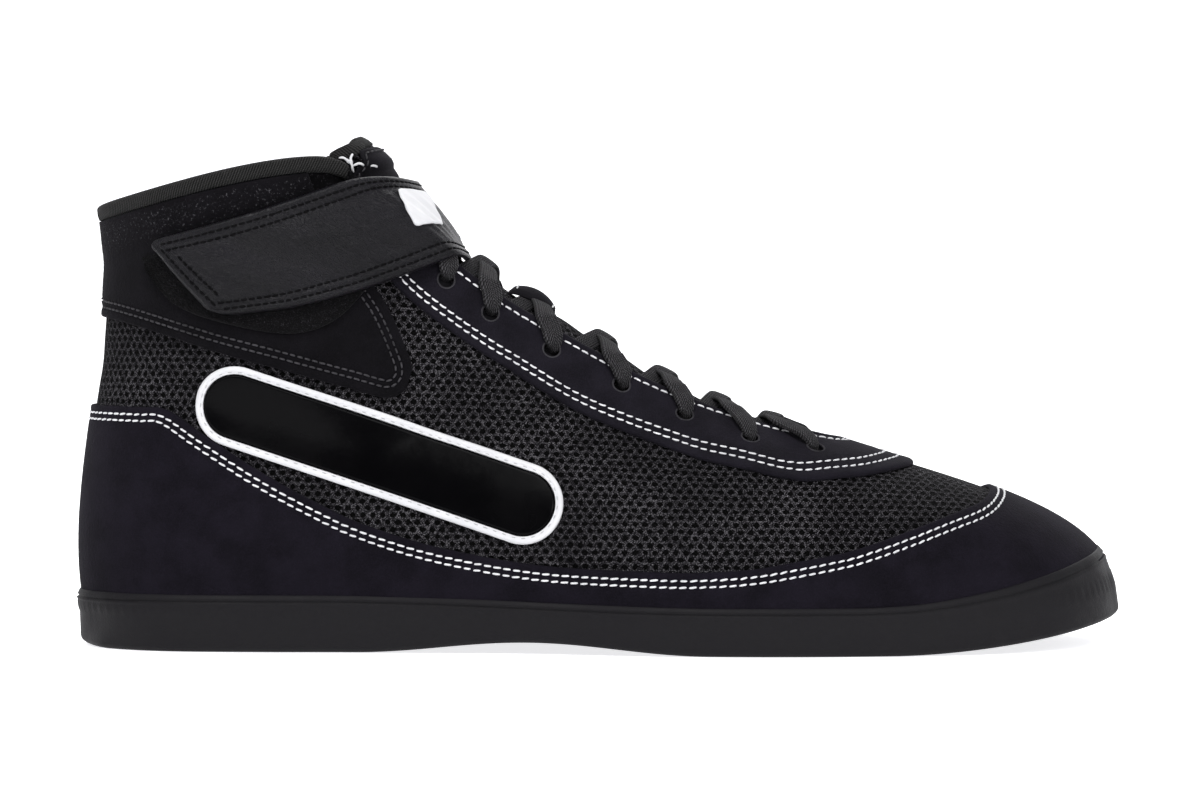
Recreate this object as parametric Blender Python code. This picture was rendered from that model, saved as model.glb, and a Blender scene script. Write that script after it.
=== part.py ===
"""Right wrestling shoe: a rubber cup sole, a hollow upper with its overlays, tongue, laces and ankle strap.

Metres, +X to the toe, +Y to the inner side of the foot, +Z up, the ground at Z = 0.
The origin is below the middle.
The upper is a skin of wall curves, each a Bezier curve from the sole's edge to the opening's edge.
Every overlay is cut from the same skin, between two distances outside it.
"""

import math

import bpy
import numpy as np

# Driving sizes
SHOE_LENGTH = 0.288
BALL_WIDTH = 0.102
TOP_HEIGHT = 0.140

# The sole
TOE_SPRING = 0.0085
ARCH_LIFT = 0.003
HEEL_LIFT = 0.0025
HEEL_BEVEL = 0.0014
SOLE_THICKNESS = 0.0048
LIP_HEIGHT = 0.0082
TOE_BUMPER = 0.0065
CUP_WALL = 0.0026
LIP_WALL = 0.0017
SHOULDER_SHARE = 0.72
EDGE_ROUND = 0.0013
TREAD_DEPTH = 0.0014
TREAD_CUTTER_LOW = -0.004
TREAD_GROOVE = 0.0028
TREAD_MARGIN = 0.009
PIVOT_RADIUS = 0.0205
PIVOT_ALONG = 0.684
TREAD_ROWS = (0.155, 0.245, 0.285, 0.325, 0.52, 0.56, 0.792, 0.832, 0.872, 0.912)

# Sheets and clearances
GAP = 0.0003
UPPER_WALL = 0.0024
INSOLE_THICKNESS = 0.0035
INSOLE_GAP = 0.0015
OVERLAY = 0.0012
SIDE_PANEL = 0.0008
PATCH = 0.0007
STRAP_THICKNESS = 0.0019
STRAP_SPARE = 0.0006
LABEL_THICKNESS = 0.0006
BINDING_DEPTH = 0.0031
BINDING_THICKNESS = 0.0012
STRAP_INNER = GAP + OVERLAY + GAP + PATCH + GAP + STRAP_SPARE
STRAP_OUTER = STRAP_INNER + STRAP_THICKNESS
TONGUE_THICKNESS = 0.0028
TONGUE_START = 0.0008
TONGUE_WING = 0.5
TONGUE_SHOULDER = 0.2

# Holes and laces
EYELET_DIAMETER = 0.0047
EYELET_SIDES = 6
EYELET_CUTTER_REACH = 0.006
LACE_WIDTH = 0.0052
LACE_THICKNESS = 0.0012
LACE_SPARE = 0.0021
LACE_STAGGER = 0.0009
LACE_CLEAR = 0.0018
LACE_SHOULDER = 0.03
LACE_RISE = 0.007
LACE_STEPS = 8

# The skin's grid: stations round the shoe for each row of the tables, more at toe and heel,
# and rows up the wall
STATIONS_A_ROW = 2
END_STATIONS_A_ROW = 3
END_ROWS = 2
WALL_ROWS = 8

# Corners of the cutters' outlines, off the shoe: shares of the length and of the top height
FAR_AHEAD = 1.2
FAR_BEHIND = -0.2
FAR_ABOVE = 1.2
FAR_BELOW = -0.2

# Sole edge, a row for each section from the toe back to the heel: the shares of the length from the heel and
# of the ball's width from the middle, on the outer side and then on the inner side of the foot
FOOTPRINT = (
    ("outer_along", "outer_out", "inner_along", "inner_out"),
    (0.990, -0.078, 0.990, 0.078),
    (0.977, 0.108, 0.981, 0.235),
    (0.931, 0.284, 0.941, 0.373),
    (0.851, 0.392, 0.858, 0.441),
    (0.750, 0.456, 0.771, 0.471),
    (0.646, 0.4725, 0.688, 0.466),
    (0.559, 0.446, 0.590, 0.412),
    (0.469, 0.392, 0.500, 0.324),
    (0.392, 0.348, 0.403, 0.265),
    (0.319, 0.324, 0.316, 0.260),
    (0.250, 0.314, 0.250, 0.279),
    (0.201, 0.312, 0.201, 0.292),
    (0.156, 0.306, 0.156, 0.297),
    (0.097, 0.284, 0.097, 0.275),
    (0.040, 0.191, 0.040, 0.181),
    (0.0122, 0.010, 0.0122, -0.010),
)

# The opening's edge, a row for each section, both sides alike: shares of length, ball width and top height,
# and how far the tongue arches out between both edges, as a share of the ball's width
OPENING = (
    ("along", "out", "up", "crown"),
    (0.729, 0.000, 0.396, 0.006),
    (0.726, 0.044, 0.398, 0.012),
    (0.715, 0.081, 0.401, 0.018),
    (0.698, 0.104, 0.409, 0.023),
    (0.674, 0.114, 0.420, 0.026),
    (0.635, 0.118, 0.442, 0.028),
    (0.587, 0.120, 0.480, 0.029),
    (0.528, 0.123, 0.537, 0.030),
    (0.462, 0.127, 0.614, 0.033),
    (0.392, 0.137, 0.704, 0.020),
    (0.319, 0.162, 0.826, 0.030),
    (0.271, 0.196, 0.914, 0.068),
    (0.236, 0.245, 0.947, 0.080),
    (0.160, 0.309, 0.926, 0.100),
    (0.076, 0.235, 0.883, 0.100),
    (0.024, 0.000, 0.854, 0.100),
)

# The wall's fullness, a row for each section: how far the lower handle stands out on the outer and inner side
# and the upper handle stands out (shares of the ball's width), how high the lower and how low the upper handle
# lies (shares of the wall's height), and how far the upper handle reaches to the sole's edge (a share of it)
FULLNESS = (
    ("low_outer", "low_inner", "high_out", "rise", "drop", "reach"),
    (0.030, 0.030, 0.000, 0.52, 0.235, 0.41),
    (0.030, 0.030, 0.000, 0.52, 0.235, 0.41),
    (0.038, 0.038, 0.000, 0.52, 0.230, 0.42),
    (0.048, 0.048, 0.000, 0.52, 0.210, 0.45),
    (0.056, 0.056, 0.000, 0.50, 0.180, 0.50),
    (0.062, 0.068, 0.000, 0.48, 0.170, 0.52),
    (0.068, 0.080, 0.004, 0.45, 0.200, 0.50),
    (0.076, 0.098, 0.010, 0.44, 0.220, 0.50),
    (0.076, 0.106, 0.020, 0.42, 0.250, 0.52),
    (0.066, 0.096, 0.040, 0.40, 0.280, 0.50),
    (0.050, 0.076, 0.068, 0.38, 0.300, 0.40),
    (0.042, 0.058, 0.078, 0.36, 0.300, 0.30),
    (0.040, 0.048, 0.050, 0.35, 0.320, 0.20),
    (0.040, 0.046, 0.000, 0.33, 0.330, 0.10),
    (0.056, 0.056, -0.040, 0.32, 0.330, 0.00),
    (0.076, 0.076, -0.060, 0.31, 0.340, 0.00),
)

# Ankle bones and the hollows behind them: the side (-1 outer, 1 inner), shares of length and top height,
# the radius as a share of the top height and the swelling as a share of the ball's width
SWELLINGS = (
    ("side", "along", "up", "radius", "swelling"),
    (-1, 0.185, 0.560, 0.130, 0.028),
    (1, 0.205, 0.610, 0.130, 0.028),
    (-1, 0.085, 0.560, 0.110, -0.022),
    (1, 0.095, 0.590, 0.110, -0.022),
)

# Overlay edges seen from the side: shares of the length from the heel and of the top height
STAY_EDGE = (
    (0.228, 0.974), (0.240, 0.931), (0.259, 0.846), (0.284, 0.763), (0.309, 0.700), (0.330, 0.661),
    (0.358, 0.617), (0.388, 0.574), (0.422, 0.530), (0.479, 0.460), (0.551, 0.399), (0.618, 0.357),
    (0.677, 0.332), (0.736, 0.333), (0.776, 0.343), (0.840, 0.365),
)
STAY_FRONT = (0.705, 0.112, 0.345)
FOXING_EDGE = (
    (-0.038, 0.474), (0.017, 0.471), (0.066, 0.470), (0.093, 0.467), (0.127, 0.423), (0.181, 0.350),
    (0.233, 0.291), (0.281, 0.246), (0.351, 0.203), (0.443, 0.171), (0.547, 0.160), (0.600, 0.160),
    (0.656, 0.170), (0.740, 0.203), (0.823, 0.257), (0.865, 0.288), (0.882, 0.340), (0.885, 0.431),
)
ANKLE_EDGE = (
    (0.218, 0.974), (0.226, 0.917), (0.241, 0.839), (0.266, 0.760), (0.298, 0.669), (0.318, 0.579),
    (0.323, 0.540), (0.318, 0.508), (0.300, 0.489), (0.261, 0.510), (0.190, 0.551), (0.137, 0.581),
    (0.065, 0.626), (0.017, 0.646), (-0.038, 0.656),
)
PATCH_EDGE = (
    (0.072, 0.760), (0.085, 0.717), (0.108, 0.663), (0.142, 0.640), (0.190, 0.618), (0.235, 0.618),
    (0.262, 0.650),
)
PATCH_HIDDEN = ((0.262, 0.80), (0.2, 0.84), (0.10, 0.775))
STRAP_TOP = ((0.083, 0.791), (0.125, 0.816), (0.167, 0.843), (0.208, 0.872), (0.248, 0.901))
STRAP_BOTTOM = ((0.142, 0.644), (0.210, 0.660), (0.261, 0.686), (0.308, 0.717), (0.359, 0.755))
STRAP_FRONT_TOP = (0.325, 0.914)
STRAP_FRONT_BOTTOM = (0.3785, 0.757)
LABEL_RUN = (1.05, 1.40)
LABEL_ACROSS = (0.34, 0.84)
PANEL_ENDS = ((0.131, 0.493), (0.456, 0.268))
PANEL_WIDTH = 0.0170
PANEL_RIM = 0.0021
EYELETS = (
    (0.353, 0.714), (0.395, 0.649), (0.453, 0.577), (0.519, 0.507), (0.579, 0.449), (0.641, 0.403),
    (0.703, 0.383),
)

# The tongue's top beyond the throat: where its middle and its side edges run
TONGUE_TIP = (
    ("middle_along", "middle_up", "side_along", "side_out", "side_up"),
    (0.297, 0.945, 0.241, 0.181, 0.943),
    (0.285, 0.973, 0.247, 0.162, 0.971),
    (0.271, 0.992, 0.255, 0.113, 0.990),
)


def named_columns(table):
    """Each column of a table as an array, by its name."""
    names = table[0]
    numbers = np.array(table[1:], float)
    return {name: numbers[:, place] for place, name in enumerate(names)}


def both_sides(outer, inner):
    """A column's rows run round the shoe: toe, outer side, heel, inner side."""
    return np.concatenate([outer, inner[-2:0:-1]])


def ring_curve(rows, where):
    """Closed cubic curve with even bending through the rows, read at fractional row numbers."""
    rows = np.asarray(rows, float)
    count = len(rows)
    one = np.eye(count)
    spread = 4 * one + np.roll(one, 1, 0) + np.roll(one, -1, 0)
    bend = np.linalg.solve(spread, 6 * (np.roll(rows, -1, 0) - 2 * rows + np.roll(rows, 1, 0)))
    where = np.asarray(where, float)
    low = np.floor(where).astype(int)
    part = (where - low)[..., None]
    here = low % count
    after = (low + 1) % count
    rest = 1 - part
    line = rest * rows[here] + part * rows[after]
    return line + (rest**3 - rest) * bend[here] / 6 + (part**3 - part) * bend[after] / 6


def open_curve(rows, count):
    """Smooth open curve through the rows: each stretch a cubic with its slope from the neighbours."""
    rows = np.asarray(rows, float)
    slopes = np.gradient(rows, axis=0)
    where = np.linspace(0, len(rows) - 1, count)
    low = np.minimum(where.astype(int), len(rows) - 2)
    t = (where - low)[:, None]
    start, end = rows[low], rows[low + 1]
    lean_start, lean_end = slopes[low], slopes[low + 1]
    return (
        (2 * t**3 - 3 * t**2 + 1) * start
        + (t**3 - 2 * t**2 + t) * lean_start
        + (3 * t**2 - 2 * t**3) * end
        + (t**3 - t**2) * lean_end
    )


def in_metres(shares):
    """Side-view points from shares of the length and the top height."""
    return (np.asarray(shares, float) - [0.5, 0.0]) * [SHOE_LENGTH, TOP_HEIGHT]


def unit(vectors):
    return vectors / np.linalg.norm(vectors, axis=-1, keepdims=True)


def between(value, start, end):
    """How far a value lies from start to end, held between 0 and 1."""
    return np.clip((value - start) / (end - start), 0, 1)


def tread_height(x):
    """The sole's underside: flat under ball and heel, hollow at the arch, rising to the toe."""
    along = x / SHOE_LENGTH + 0.5
    arch = np.sin(math.pi * between(along, 0.27, 0.60)) ** 2
    toe = between(along, 0.775, 1.0) ** 1.8
    heel = between(along, 0.035, 0.0) ** 2
    return ARCH_LIFT * arch + TOE_SPRING * toe + HEEL_BEVEL * heel


def floor_height(x):
    """The sole's inside floor: its thickness above the toe's rise, and a low wedge under the heel."""
    along = x / SHOE_LENGTH + 0.5
    toe = between(along, 0.775, 1.0) ** 1.8
    wedge = between(along, 0.62, 0.25)
    return SOLE_THICKNESS + TOE_SPRING * toe + HEEL_LIFT * wedge * wedge * (3 - 2 * wedge)


def lip_height(x):
    """The top of the sole's side, which rises to a bumper at the toe."""
    along = x / SHOE_LENGTH + 0.5
    return floor_height(x) + LIP_HEIGHT + TOE_BUMPER * between(along, 0.74, 1.0) ** 1.5


class Skin:
    """The upper's outer form: point(station, up) with up 0 at the sole's edge and 1 at the opening's edge."""

    def __init__(self):
        foot = named_columns(FOOTPRINT)
        edge = named_columns(OPENING)
        full = named_columns(FULLNESS)
        along = both_sides(foot["outer_along"], foot["inner_along"])
        out = both_sides(-foot["outer_out"], foot["inner_out"])
        self.foot = np.column_stack([(along - 0.5) * SHOE_LENGTH, out * BALL_WIDTH])
        edge_along = both_sides(edge["along"], edge["along"])
        edge_out = both_sides(-edge["out"], edge["out"])
        edge_up = both_sides(edge["up"], edge["up"])
        self.edge = np.column_stack(
            [(edge_along - 0.5) * SHOE_LENGTH, edge_out * BALL_WIDTH, edge_up * TOP_HEIGHT]
        )
        self.full = np.column_stack(
            [
                both_sides(full["low_outer"], full["low_inner"]) * BALL_WIDTH,
                both_sides(full["high_out"], full["high_out"]) * BALL_WIDTH,
                both_sides(full["rise"], full["rise"]),
                both_sides(full["drop"], full["drop"]),
                both_sides(full["reach"], full["reach"]),
            ]
        )
        self.crown = both_sides(edge["crown"], edge["crown"])[:, None] * BALL_WIDTH
        self.rows = len(self.foot)
        self.half = self.rows // 2
        self.swellings = named_columns(SWELLINGS)

    def outward(self, station):
        """Level unit vector out of the sole's edge."""
        step = 0.05
        run = ring_curve(self.foot, station + step) - ring_curve(self.foot, station - step)
        return unit(np.stack([-run[..., 1], run[..., 0], 0 * run[..., 0]], -1))

    def handles(self, station):
        """The four Bezier points of the wall at a station."""
        foot = ring_curve(self.foot, station)
        height = floor_height(foot[..., 0]) + GAP
        base = np.stack([foot[..., 0], foot[..., 1], height], -1)
        top = ring_curve(self.edge, station)
        full = ring_curve(self.full, station)
        out = self.outward(station)
        tall = top[..., 2:] - base[..., 2:]
        up = np.array([0.0, 0.0, 1.0])
        level = (base - top) * [1.0, 1.0, 0.0]
        low = base + out * full[..., 0:1] + up * tall * full[..., 2:3]
        high = top + level * full[..., 4:5] + out * full[..., 1:2] - up * tall * full[..., 3:4]
        return base, low, high, top

    def point(self, station, up):
        station, up = np.broadcast_arrays(np.asarray(station, float), np.asarray(up, float))
        base, low, high, top = self.handles(station)
        t = up[..., None]
        rest = 1 - t
        place = rest**3 * base + 3 * rest**2 * t * low + 3 * rest * t**2 * high + t**3 * top
        out = self.outward(station)
        bumps = self.swellings
        for side, along, height, radius, swelling in zip(
            bumps["side"], bumps["along"], bumps["up"], bumps["radius"], bumps["swelling"]
        ):
            far_x = place[..., 0] - (along - 0.5) * SHOE_LENGTH
            far_z = place[..., 2] - height * TOP_HEIGHT
            near = np.exp(-(far_x**2 + far_z**2) / (radius * TOP_HEIGHT) ** 2)
            own_side = between(place[..., 1] * side, 0, 0.15 * BALL_WIDTH)
            place = place + out * (near * own_side * swelling * BALL_WIDTH)[..., None]
        return place

    def normal(self, station, up):
        """Unit vector out of the skin."""
        step = 0.01
        high = np.minimum(up + step, 1.0)
        low = np.maximum(up - step, 0.0)
        rise = self.point(station, high) - self.point(station, low)
        run = self.point(station + step, up) - self.point(station - step, up)
        return unit(np.cross(rise, run))

    def climb(self, station):
        """Unit vector up the wall at the opening's edge."""
        return unit(self.point(station, 1.0) - self.point(station, 0.98))

    def up_at_height(self, station, height_of):
        """Where the wall reaches the height that height_of gives for its x: halving steps."""
        low = np.zeros_like(station, float)
        high = np.ones_like(station, float)
        for _ in range(30):
            middle = (low + high) / 2
            place = self.point(station, middle)
            above = place[..., 2] > height_of(place[..., 0])
            high = np.where(above, middle, high)
            low = np.where(above, low, middle)
        return (low + high) / 2

    def up_below_edge(self, station, distance):
        """Where the wall is this far below the opening's edge."""
        step = 0.04
        length = np.linalg.norm(self.point(station, 1.0) - self.point(station, 1 - step), axis=-1)
        return 1 - step * distance / length

    def touch(self, side, target):
        """Station and up of side-view points, on the outer (-1) or inner (1) side: nearest, then Newton."""
        target = np.asarray(target, float)
        lanes = np.linspace(0.4, self.half - 0.4, 100)
        lanes = lanes if side < 0 else self.rows - lanes
        rises = np.linspace(0.02, 1.0, 50)
        grid_station, grid_up = np.meshgrid(lanes, rises, indexing="ij")
        grid = self.point(grid_station, grid_up)[..., [0, 2]].reshape(-1, 2)
        far = ((target[..., None, :] - grid) ** 2).sum(-1)
        best = far.argmin(-1)
        station = grid_station.reshape(-1)[best]
        up = grid_up.reshape(-1)[best]
        step = 0.002
        for _ in range(8):
            here = self.point(station, up)[..., [0, 2]]
            by_station = (self.point(station + step, up)[..., [0, 2]] - here) / step
            by_up = (self.point(station, up + step)[..., [0, 2]] - here) / step
            miss = target - here
            area = by_station[..., 0] * by_up[..., 1] - by_station[..., 1] * by_up[..., 0]
            move_station = (miss[..., 0] * by_up[..., 1] - miss[..., 1] * by_up[..., 0]) / area
            move_up = (miss[..., 1] * by_station[..., 0] - miss[..., 0] * by_station[..., 1]) / area
            station = station + np.clip(move_station, -0.5, 0.5)
            up = np.clip(up + np.clip(move_up, -0.1, 0.1), 0.0, 1.05)
        return station, up


class Grid:
    """The skin's shared grid, so that nested sheets have facets side by side."""

    def __init__(self, skin):
        end = skin.half - END_ROWS
        half = np.concatenate(
            [
                np.arange(0, END_ROWS, 1 / END_STATIONS_A_ROW),
                np.arange(END_ROWS, end, 1 / STATIONS_A_ROW),
                np.arange(end, skin.half, 1 / END_STATIONS_A_ROW),
            ]
        )
        self.stations = np.concatenate([half, [skin.half], skin.rows - half[:0:-1]])
        lip = skin.up_at_height(self.stations, lip_height)
        binding = skin.up_below_edge(self.stations, BINDING_DEPTH + GAP)
        share = np.linspace(0, 1, WALL_ROWS - 1)[:, None]
        middle = lip + (binding - lip) * share
        self.up = np.concatenate([0 * lip[None], middle, 0 * lip[None] + 1])
        self.point = skin.point(self.stations, self.up)
        self.normal = skin.normal(self.stations, self.up)
        self.count = len(self.stations)

    def layer(self, first_row, last_row, distance, stations=None):
        """Rows first to last of the skin moved out by a distance."""
        place = self.point + self.normal * distance
        rows = place[first_row : last_row + 1]
        return rows if stations is None else rows[:, stations]


def faces_of_grid(rows, columns, wrap, start, turned):
    """Triangles of a grid of vertices, each cell cut on the same diagonal."""
    faces = []
    last = columns if wrap else columns - 1
    for row in range(rows - 1):
        for column in range(last):
            a = start + row * columns + column
            b = start + row * columns + (column + 1) % columns
            c = b + columns
            d = a + columns
            cell = [(a, b, c), (a, c, d)]
            faces += [face[::-1] for face in cell] if turned else cell
    return faces


def rim(first, second, turned):
    """Triangles between two equally long open chains of vertices."""
    faces = []
    for place in range(len(first) - 1):
        a, b = first[place], first[place + 1]
        c, d = second[place + 1], second[place]
        cell = [(a, b, c), (a, c, d)]
        faces += [face[::-1] for face in cell] if turned else cell
    return faces


def make_object(name, points, faces, colour=None):
    mesh = bpy.data.meshes.new(name)
    mesh.from_pydata([tuple(point) for point in np.asarray(points, float)], [], faces)
    mesh.update()
    thing = bpy.data.objects.new(name, mesh)
    bpy.context.scene.collection.objects.link(thing)
    if colour:
        finish(thing, colour)
    return thing


def finish(thing, colour):
    """Own material and smooth shading."""
    base, roughness = colour
    material = bpy.data.materials.new(thing.name)
    material.use_nodes = True
    surface = material.node_tree.nodes["Principled BSDF"]
    surface.inputs["Base Color"].default_value = (*base, 1.0)
    surface.inputs["Roughness"].default_value = roughness
    thing.data.materials.clear()
    thing.data.materials.append(material)
    thing.data.polygons.foreach_set("use_smooth", [True] * len(thing.data.polygons))


def sheet(name, outer, inner, wrap=False, colour=None):
    """Closed body between two grids of points of the same shape, outer side out."""
    rows, columns = outer.shape[:2]
    points = np.concatenate([outer.reshape(-1, 3), inner.reshape(-1, 3)])
    size = rows * columns
    faces = faces_of_grid(rows, columns, wrap, 0, True)
    faces += faces_of_grid(rows, columns, wrap, size, False)
    around = list(range(columns)) + ([0] if wrap else [])
    bottom = list(around)
    top = [(rows - 1) * columns + place for place in around]
    faces += rim(bottom, [place + size for place in bottom], False)
    faces += rim(top, [place + size for place in top], True)
    if not wrap:
        left = [row * columns for row in range(rows)]
        right = [row * columns + columns - 1 for row in range(rows)]
        faces += rim(left, [place + size for place in left], True)
        faces += rim(right, [place + size for place in right], False)
    return make_object(name, points, faces, colour)


def plan_prism(name, outline, low_z, high_z):
    """Plan-view outline drawn up, with its faces out: a side-view one turned over."""
    thing = prism(name, outline, -high_z, -low_z)
    turned = [(x, z, -y) for x, y, z in (tuple(vertex.co) for vertex in thing.data.vertices)]
    for vertex, place in zip(thing.data.vertices, turned):
        vertex.co = place
    thing.data.update()
    return thing


def prism(name, outline, low_y, high_y):
    """Side-view outline drawn out across the shoe, with its faces out."""
    outline = np.asarray(outline, float)
    after = np.roll(outline, -1, 0)
    area = (outline[:, 0] * after[:, 1] - after[:, 0] * outline[:, 1]).sum()
    if area < 0:
        outline = outline[::-1]
    count = len(outline)
    near = [(x, low_y, z) for x, z in outline]
    far = [(x, high_y, z) for x, z in outline]
    faces = [tuple(range(count)), tuple(range(2 * count - 1, count - 1, -1))]
    for place in range(count):
        after_place = (place + 1) % count
        faces.append((place, place + count, after_place + count, after_place))
    return make_object(name, near + far, faces)


def combine(thing, other, operation):
    """Exact Boolean of two objects, which takes the second one away."""
    modifier = thing.modifiers.new("join", "BOOLEAN")
    modifier.solver = "EXACT"
    modifier.operation = operation
    modifier.object = other
    graph = bpy.context.evaluated_depsgraph_get()
    mesh = bpy.data.meshes.new_from_object(thing.evaluated_get(graph))
    mesh.name = thing.name
    old = thing.data
    thing.modifiers.clear()
    thing.data = mesh
    bpy.data.meshes.remove(old)
    bpy.data.objects.remove(other)
    return thing


def station_run(grid, skin, first, last):
    """Numbers of the grid's stations between two table rows, in their order round the ring."""
    past = (grid.stations - first) % skin.rows
    inside = np.flatnonzero(past <= last - first + 1e-9)
    return inside[np.argsort(past[inside])]


def faces_across(start, count, turned):
    """Faces that close a ring flat across, between the points of both its sides."""
    half = count // 2
    outer = [start + place for place in range(half + 1)]
    inner = [start + (count - place) % count for place in range(half + 1)]
    faces = []
    for a, b, c, d in zip(outer, outer[1:], inner[1:], inner):
        cell = [(a, b, c)] if a == d else [(a, b, d)] if b == c else [(a, b, c), (a, c, d)]
        faces += cell if turned else [face[::-1] for face in cell]
    return faces


def build_outsole(grid, skin):
    """Cup sole: floor ring, inner side up, lip, outer side down, underside ring, closed across by rungs."""
    near_lip = 1 - GAP / np.linalg.norm(grid.point[1] - grid.point[0], axis=-1)[:, None]
    lip_point = grid.point[0] + (grid.point[1] - grid.point[0]) * near_lip
    lip_normal = grid.normal[1]
    level = unit(grid.normal[0] * [1.0, 1.0, 0.0])
    side = GAP + CUP_WALL
    inside = grid.point[0] + level * GAP
    inside[:, 2] = floor_height(grid.point[0][:, 0])
    lip_in = lip_point + lip_normal * GAP
    lip_out = lip_point + lip_normal * (GAP + LIP_WALL)
    shoulder = grid.point[0] + (lip_point - grid.point[0]) * SHOULDER_SHARE + lip_normal * side
    foot = grid.point[0] + level * side
    foot[:, 2] = tread_height(foot[:, 0]) + EDGE_ROUND
    under = grid.point[0] + level * (side - EDGE_ROUND)
    under[:, 2] = tread_height(under[:, 0])
    rings = [inside, lip_in, lip_out, shoulder, foot, under]
    count = grid.count
    faces = faces_of_grid(len(rings), count, True, 0, False)
    faces += faces_across(0, count, False)
    faces += faces_across((len(rings) - 1) * count, count, True)
    sole = make_object("outsole", np.concatenate(rings), faces)
    for groove in tread_grooves(under, count // 2):
        combine(sole, groove, "DIFFERENCE")
    finish(sole, ((0.012, 0.012, 0.013), 0.55))
    return sole


def tread_grooves(under, half):
    """Cutters for the round pivot pad's ring and for the cross grooves."""
    centre = (PIVOT_ALONG - 0.5) * SHOE_LENGTH
    turns = np.linspace(0, 2 * math.pi, 28, endpoint=False)
    round_line = np.column_stack([np.cos(turns), np.sin(turns)])
    inner_ring = round_line * PIVOT_RADIUS + [centre, 0]
    outer_ring = round_line * (PIVOT_RADIUS + TREAD_GROOVE) + [centre, 0]
    low = TREAD_CUTTER_LOW
    outer_wall = np.stack([np.column_stack([outer_ring, 0 * turns + z]) for z in (low, TREAD_DEPTH)])
    inner_wall = np.stack([np.column_stack([inner_ring, 0 * turns + z]) for z in (low, TREAD_DEPTH)])
    cutters = [sheet("ring_groove", outer_wall[:, ::-1], inner_wall[:, ::-1], wrap=True)]
    outer_line = under[: half + 1]
    inner_line = np.concatenate([under[:1], under[:half - 1:-1]])
    for share in TREAD_ROWS:
        x = (share - 0.5) * SHOE_LENGTH
        low_y = np.interp(-x, -outer_line[:, 0], outer_line[:, 1]) + TREAD_MARGIN
        high_y = np.interp(-x, -inner_line[:, 0], inner_line[:, 1]) - TREAD_MARGIN
        ends = np.array([x - TREAD_GROOVE / 2, x + TREAD_GROOVE / 2])
        tops = tread_height(ends) + TREAD_DEPTH
        outline = [(ends[0], low), (ends[1], low), (ends[1], tops[1]), (ends[0], tops[0])]
        cutters.append(prism("cross_groove", outline, low_y, high_y))
    return cutters


def build_insole(grid):
    """Flat sock inside the upper's foot, closed across by rungs."""
    level = unit(grid.normal[0] * [1.0, 1.0, 0.0])
    ring = grid.point[0] - level * (UPPER_WALL + INSOLE_GAP)
    low = ring.copy()
    low[:, 2] = floor_height(ring[:, 0]) + GAP
    high = low + [0, 0, INSOLE_THICKNESS]
    count = grid.count
    faces = faces_of_grid(2, count, True, 0, True)
    faces += faces_across(count, count, False)
    faces += faces_across(0, count, True)
    return make_object("insole", np.concatenate([low, high]), faces, ((0.02, 0.02, 0.022), 0.9))


def overlay_outline(edge, far_corners, count):
    """Visible edge as a smooth curve, closed through far corners off the shoe."""
    curve = open_curve(in_metres(edge), count)
    return np.concatenate([curve, in_metres(far_corners)])


def build_overlays(grid, skin):
    """Foxing, eyestay and ankle panel: sheets of the skin's grid cut by their side-view edges."""
    suede = ((0.011, 0.011, 0.012), 0.85)
    ahead, behind, above, below = FAR_AHEAD, FAR_BEHIND, FAR_ABOVE, FAR_BELOW
    high_row = WALL_ROWS - 1
    low_skin, high_skin = GAP, GAP + OVERLAY
    wide = BALL_WIDTH
    foxing = sheet("foxing", grid.layer(1, high_row, high_skin), grid.layer(1, high_row, low_skin), wrap=True)
    far = ((ahead, FOXING_EDGE[-1][1]), (ahead, below), (behind, below), (behind, FOXING_EDGE[0][1]))
    outline = overlay_outline(FOXING_EDGE, far, 30)
    combine(foxing, prism("foxing_edge", outline, -wide, wide), "INTERSECT")
    finish(foxing, suede)
    throat = station_run(grid, skin, -11, 11)
    eyestay = sheet(
        "eyestay",
        grid.layer(2, WALL_ROWS, high_skin, throat),
        grid.layer(2, WALL_ROWS, low_skin, throat),
    )
    outline = overlay_outline(STAY_EDGE, ((STAY_EDGE[-1][0], above), (STAY_EDGE[0][0], above)), 28)
    combine(eyestay, prism("stay_edge", outline, -wide, wide), "INTERSECT")
    centre, length, width = STAY_FRONT
    turns = np.linspace(-math.pi / 2, math.pi / 2, 19)
    front = np.column_stack(
        [
            (centre - 0.5 + length * np.cos(turns)) * SHOE_LENGTH,
            width * BALL_WIDTH * np.sin(turns),
        ]
    )
    back = -0.5 * SHOE_LENGTH
    outline = [(back, -wide), (front[0, 0], -wide), *front, (front[0, 0], wide), (back, wide)]
    combine(eyestay, plan_prism("stay_front", outline, 0, TOP_HEIGHT), "INTERSECT")
    finish(eyestay, suede)
    back = station_run(grid, skin, 8, skin.rows - 8)
    ankle = sheet(
        "ankle_panel",
        grid.layer(2, high_row, high_skin, back),
        grid.layer(2, high_row, low_skin, back),
    )
    far = ((behind, ANKLE_EDGE[-1][1]), (behind, above), (ANKLE_EDGE[0][0], above))
    outline = overlay_outline(ANKLE_EDGE, far, 28)
    combine(ankle, prism("ankle_edge", outline, -wide, wide), "INTERSECT")
    finish(ankle, suede)
    return eyestay


def pill(margin):
    """Outline of the side bar with its round ends, a margin larger all round."""
    start, end = in_metres(PANEL_ENDS)
    along = unit(end - start)
    across = np.array([-along[1], along[0]])
    start = start + along * PANEL_WIDTH / 2
    end = end - along * PANEL_WIDTH / 2
    turns = np.linspace(-math.pi / 2, math.pi / 2, 7)[:, None]
    round_end = (along * np.cos(turns) + across * np.sin(turns)) * (PANEL_WIDTH / 2 + margin)
    return np.concatenate([end + round_end, start - round_end])


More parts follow.
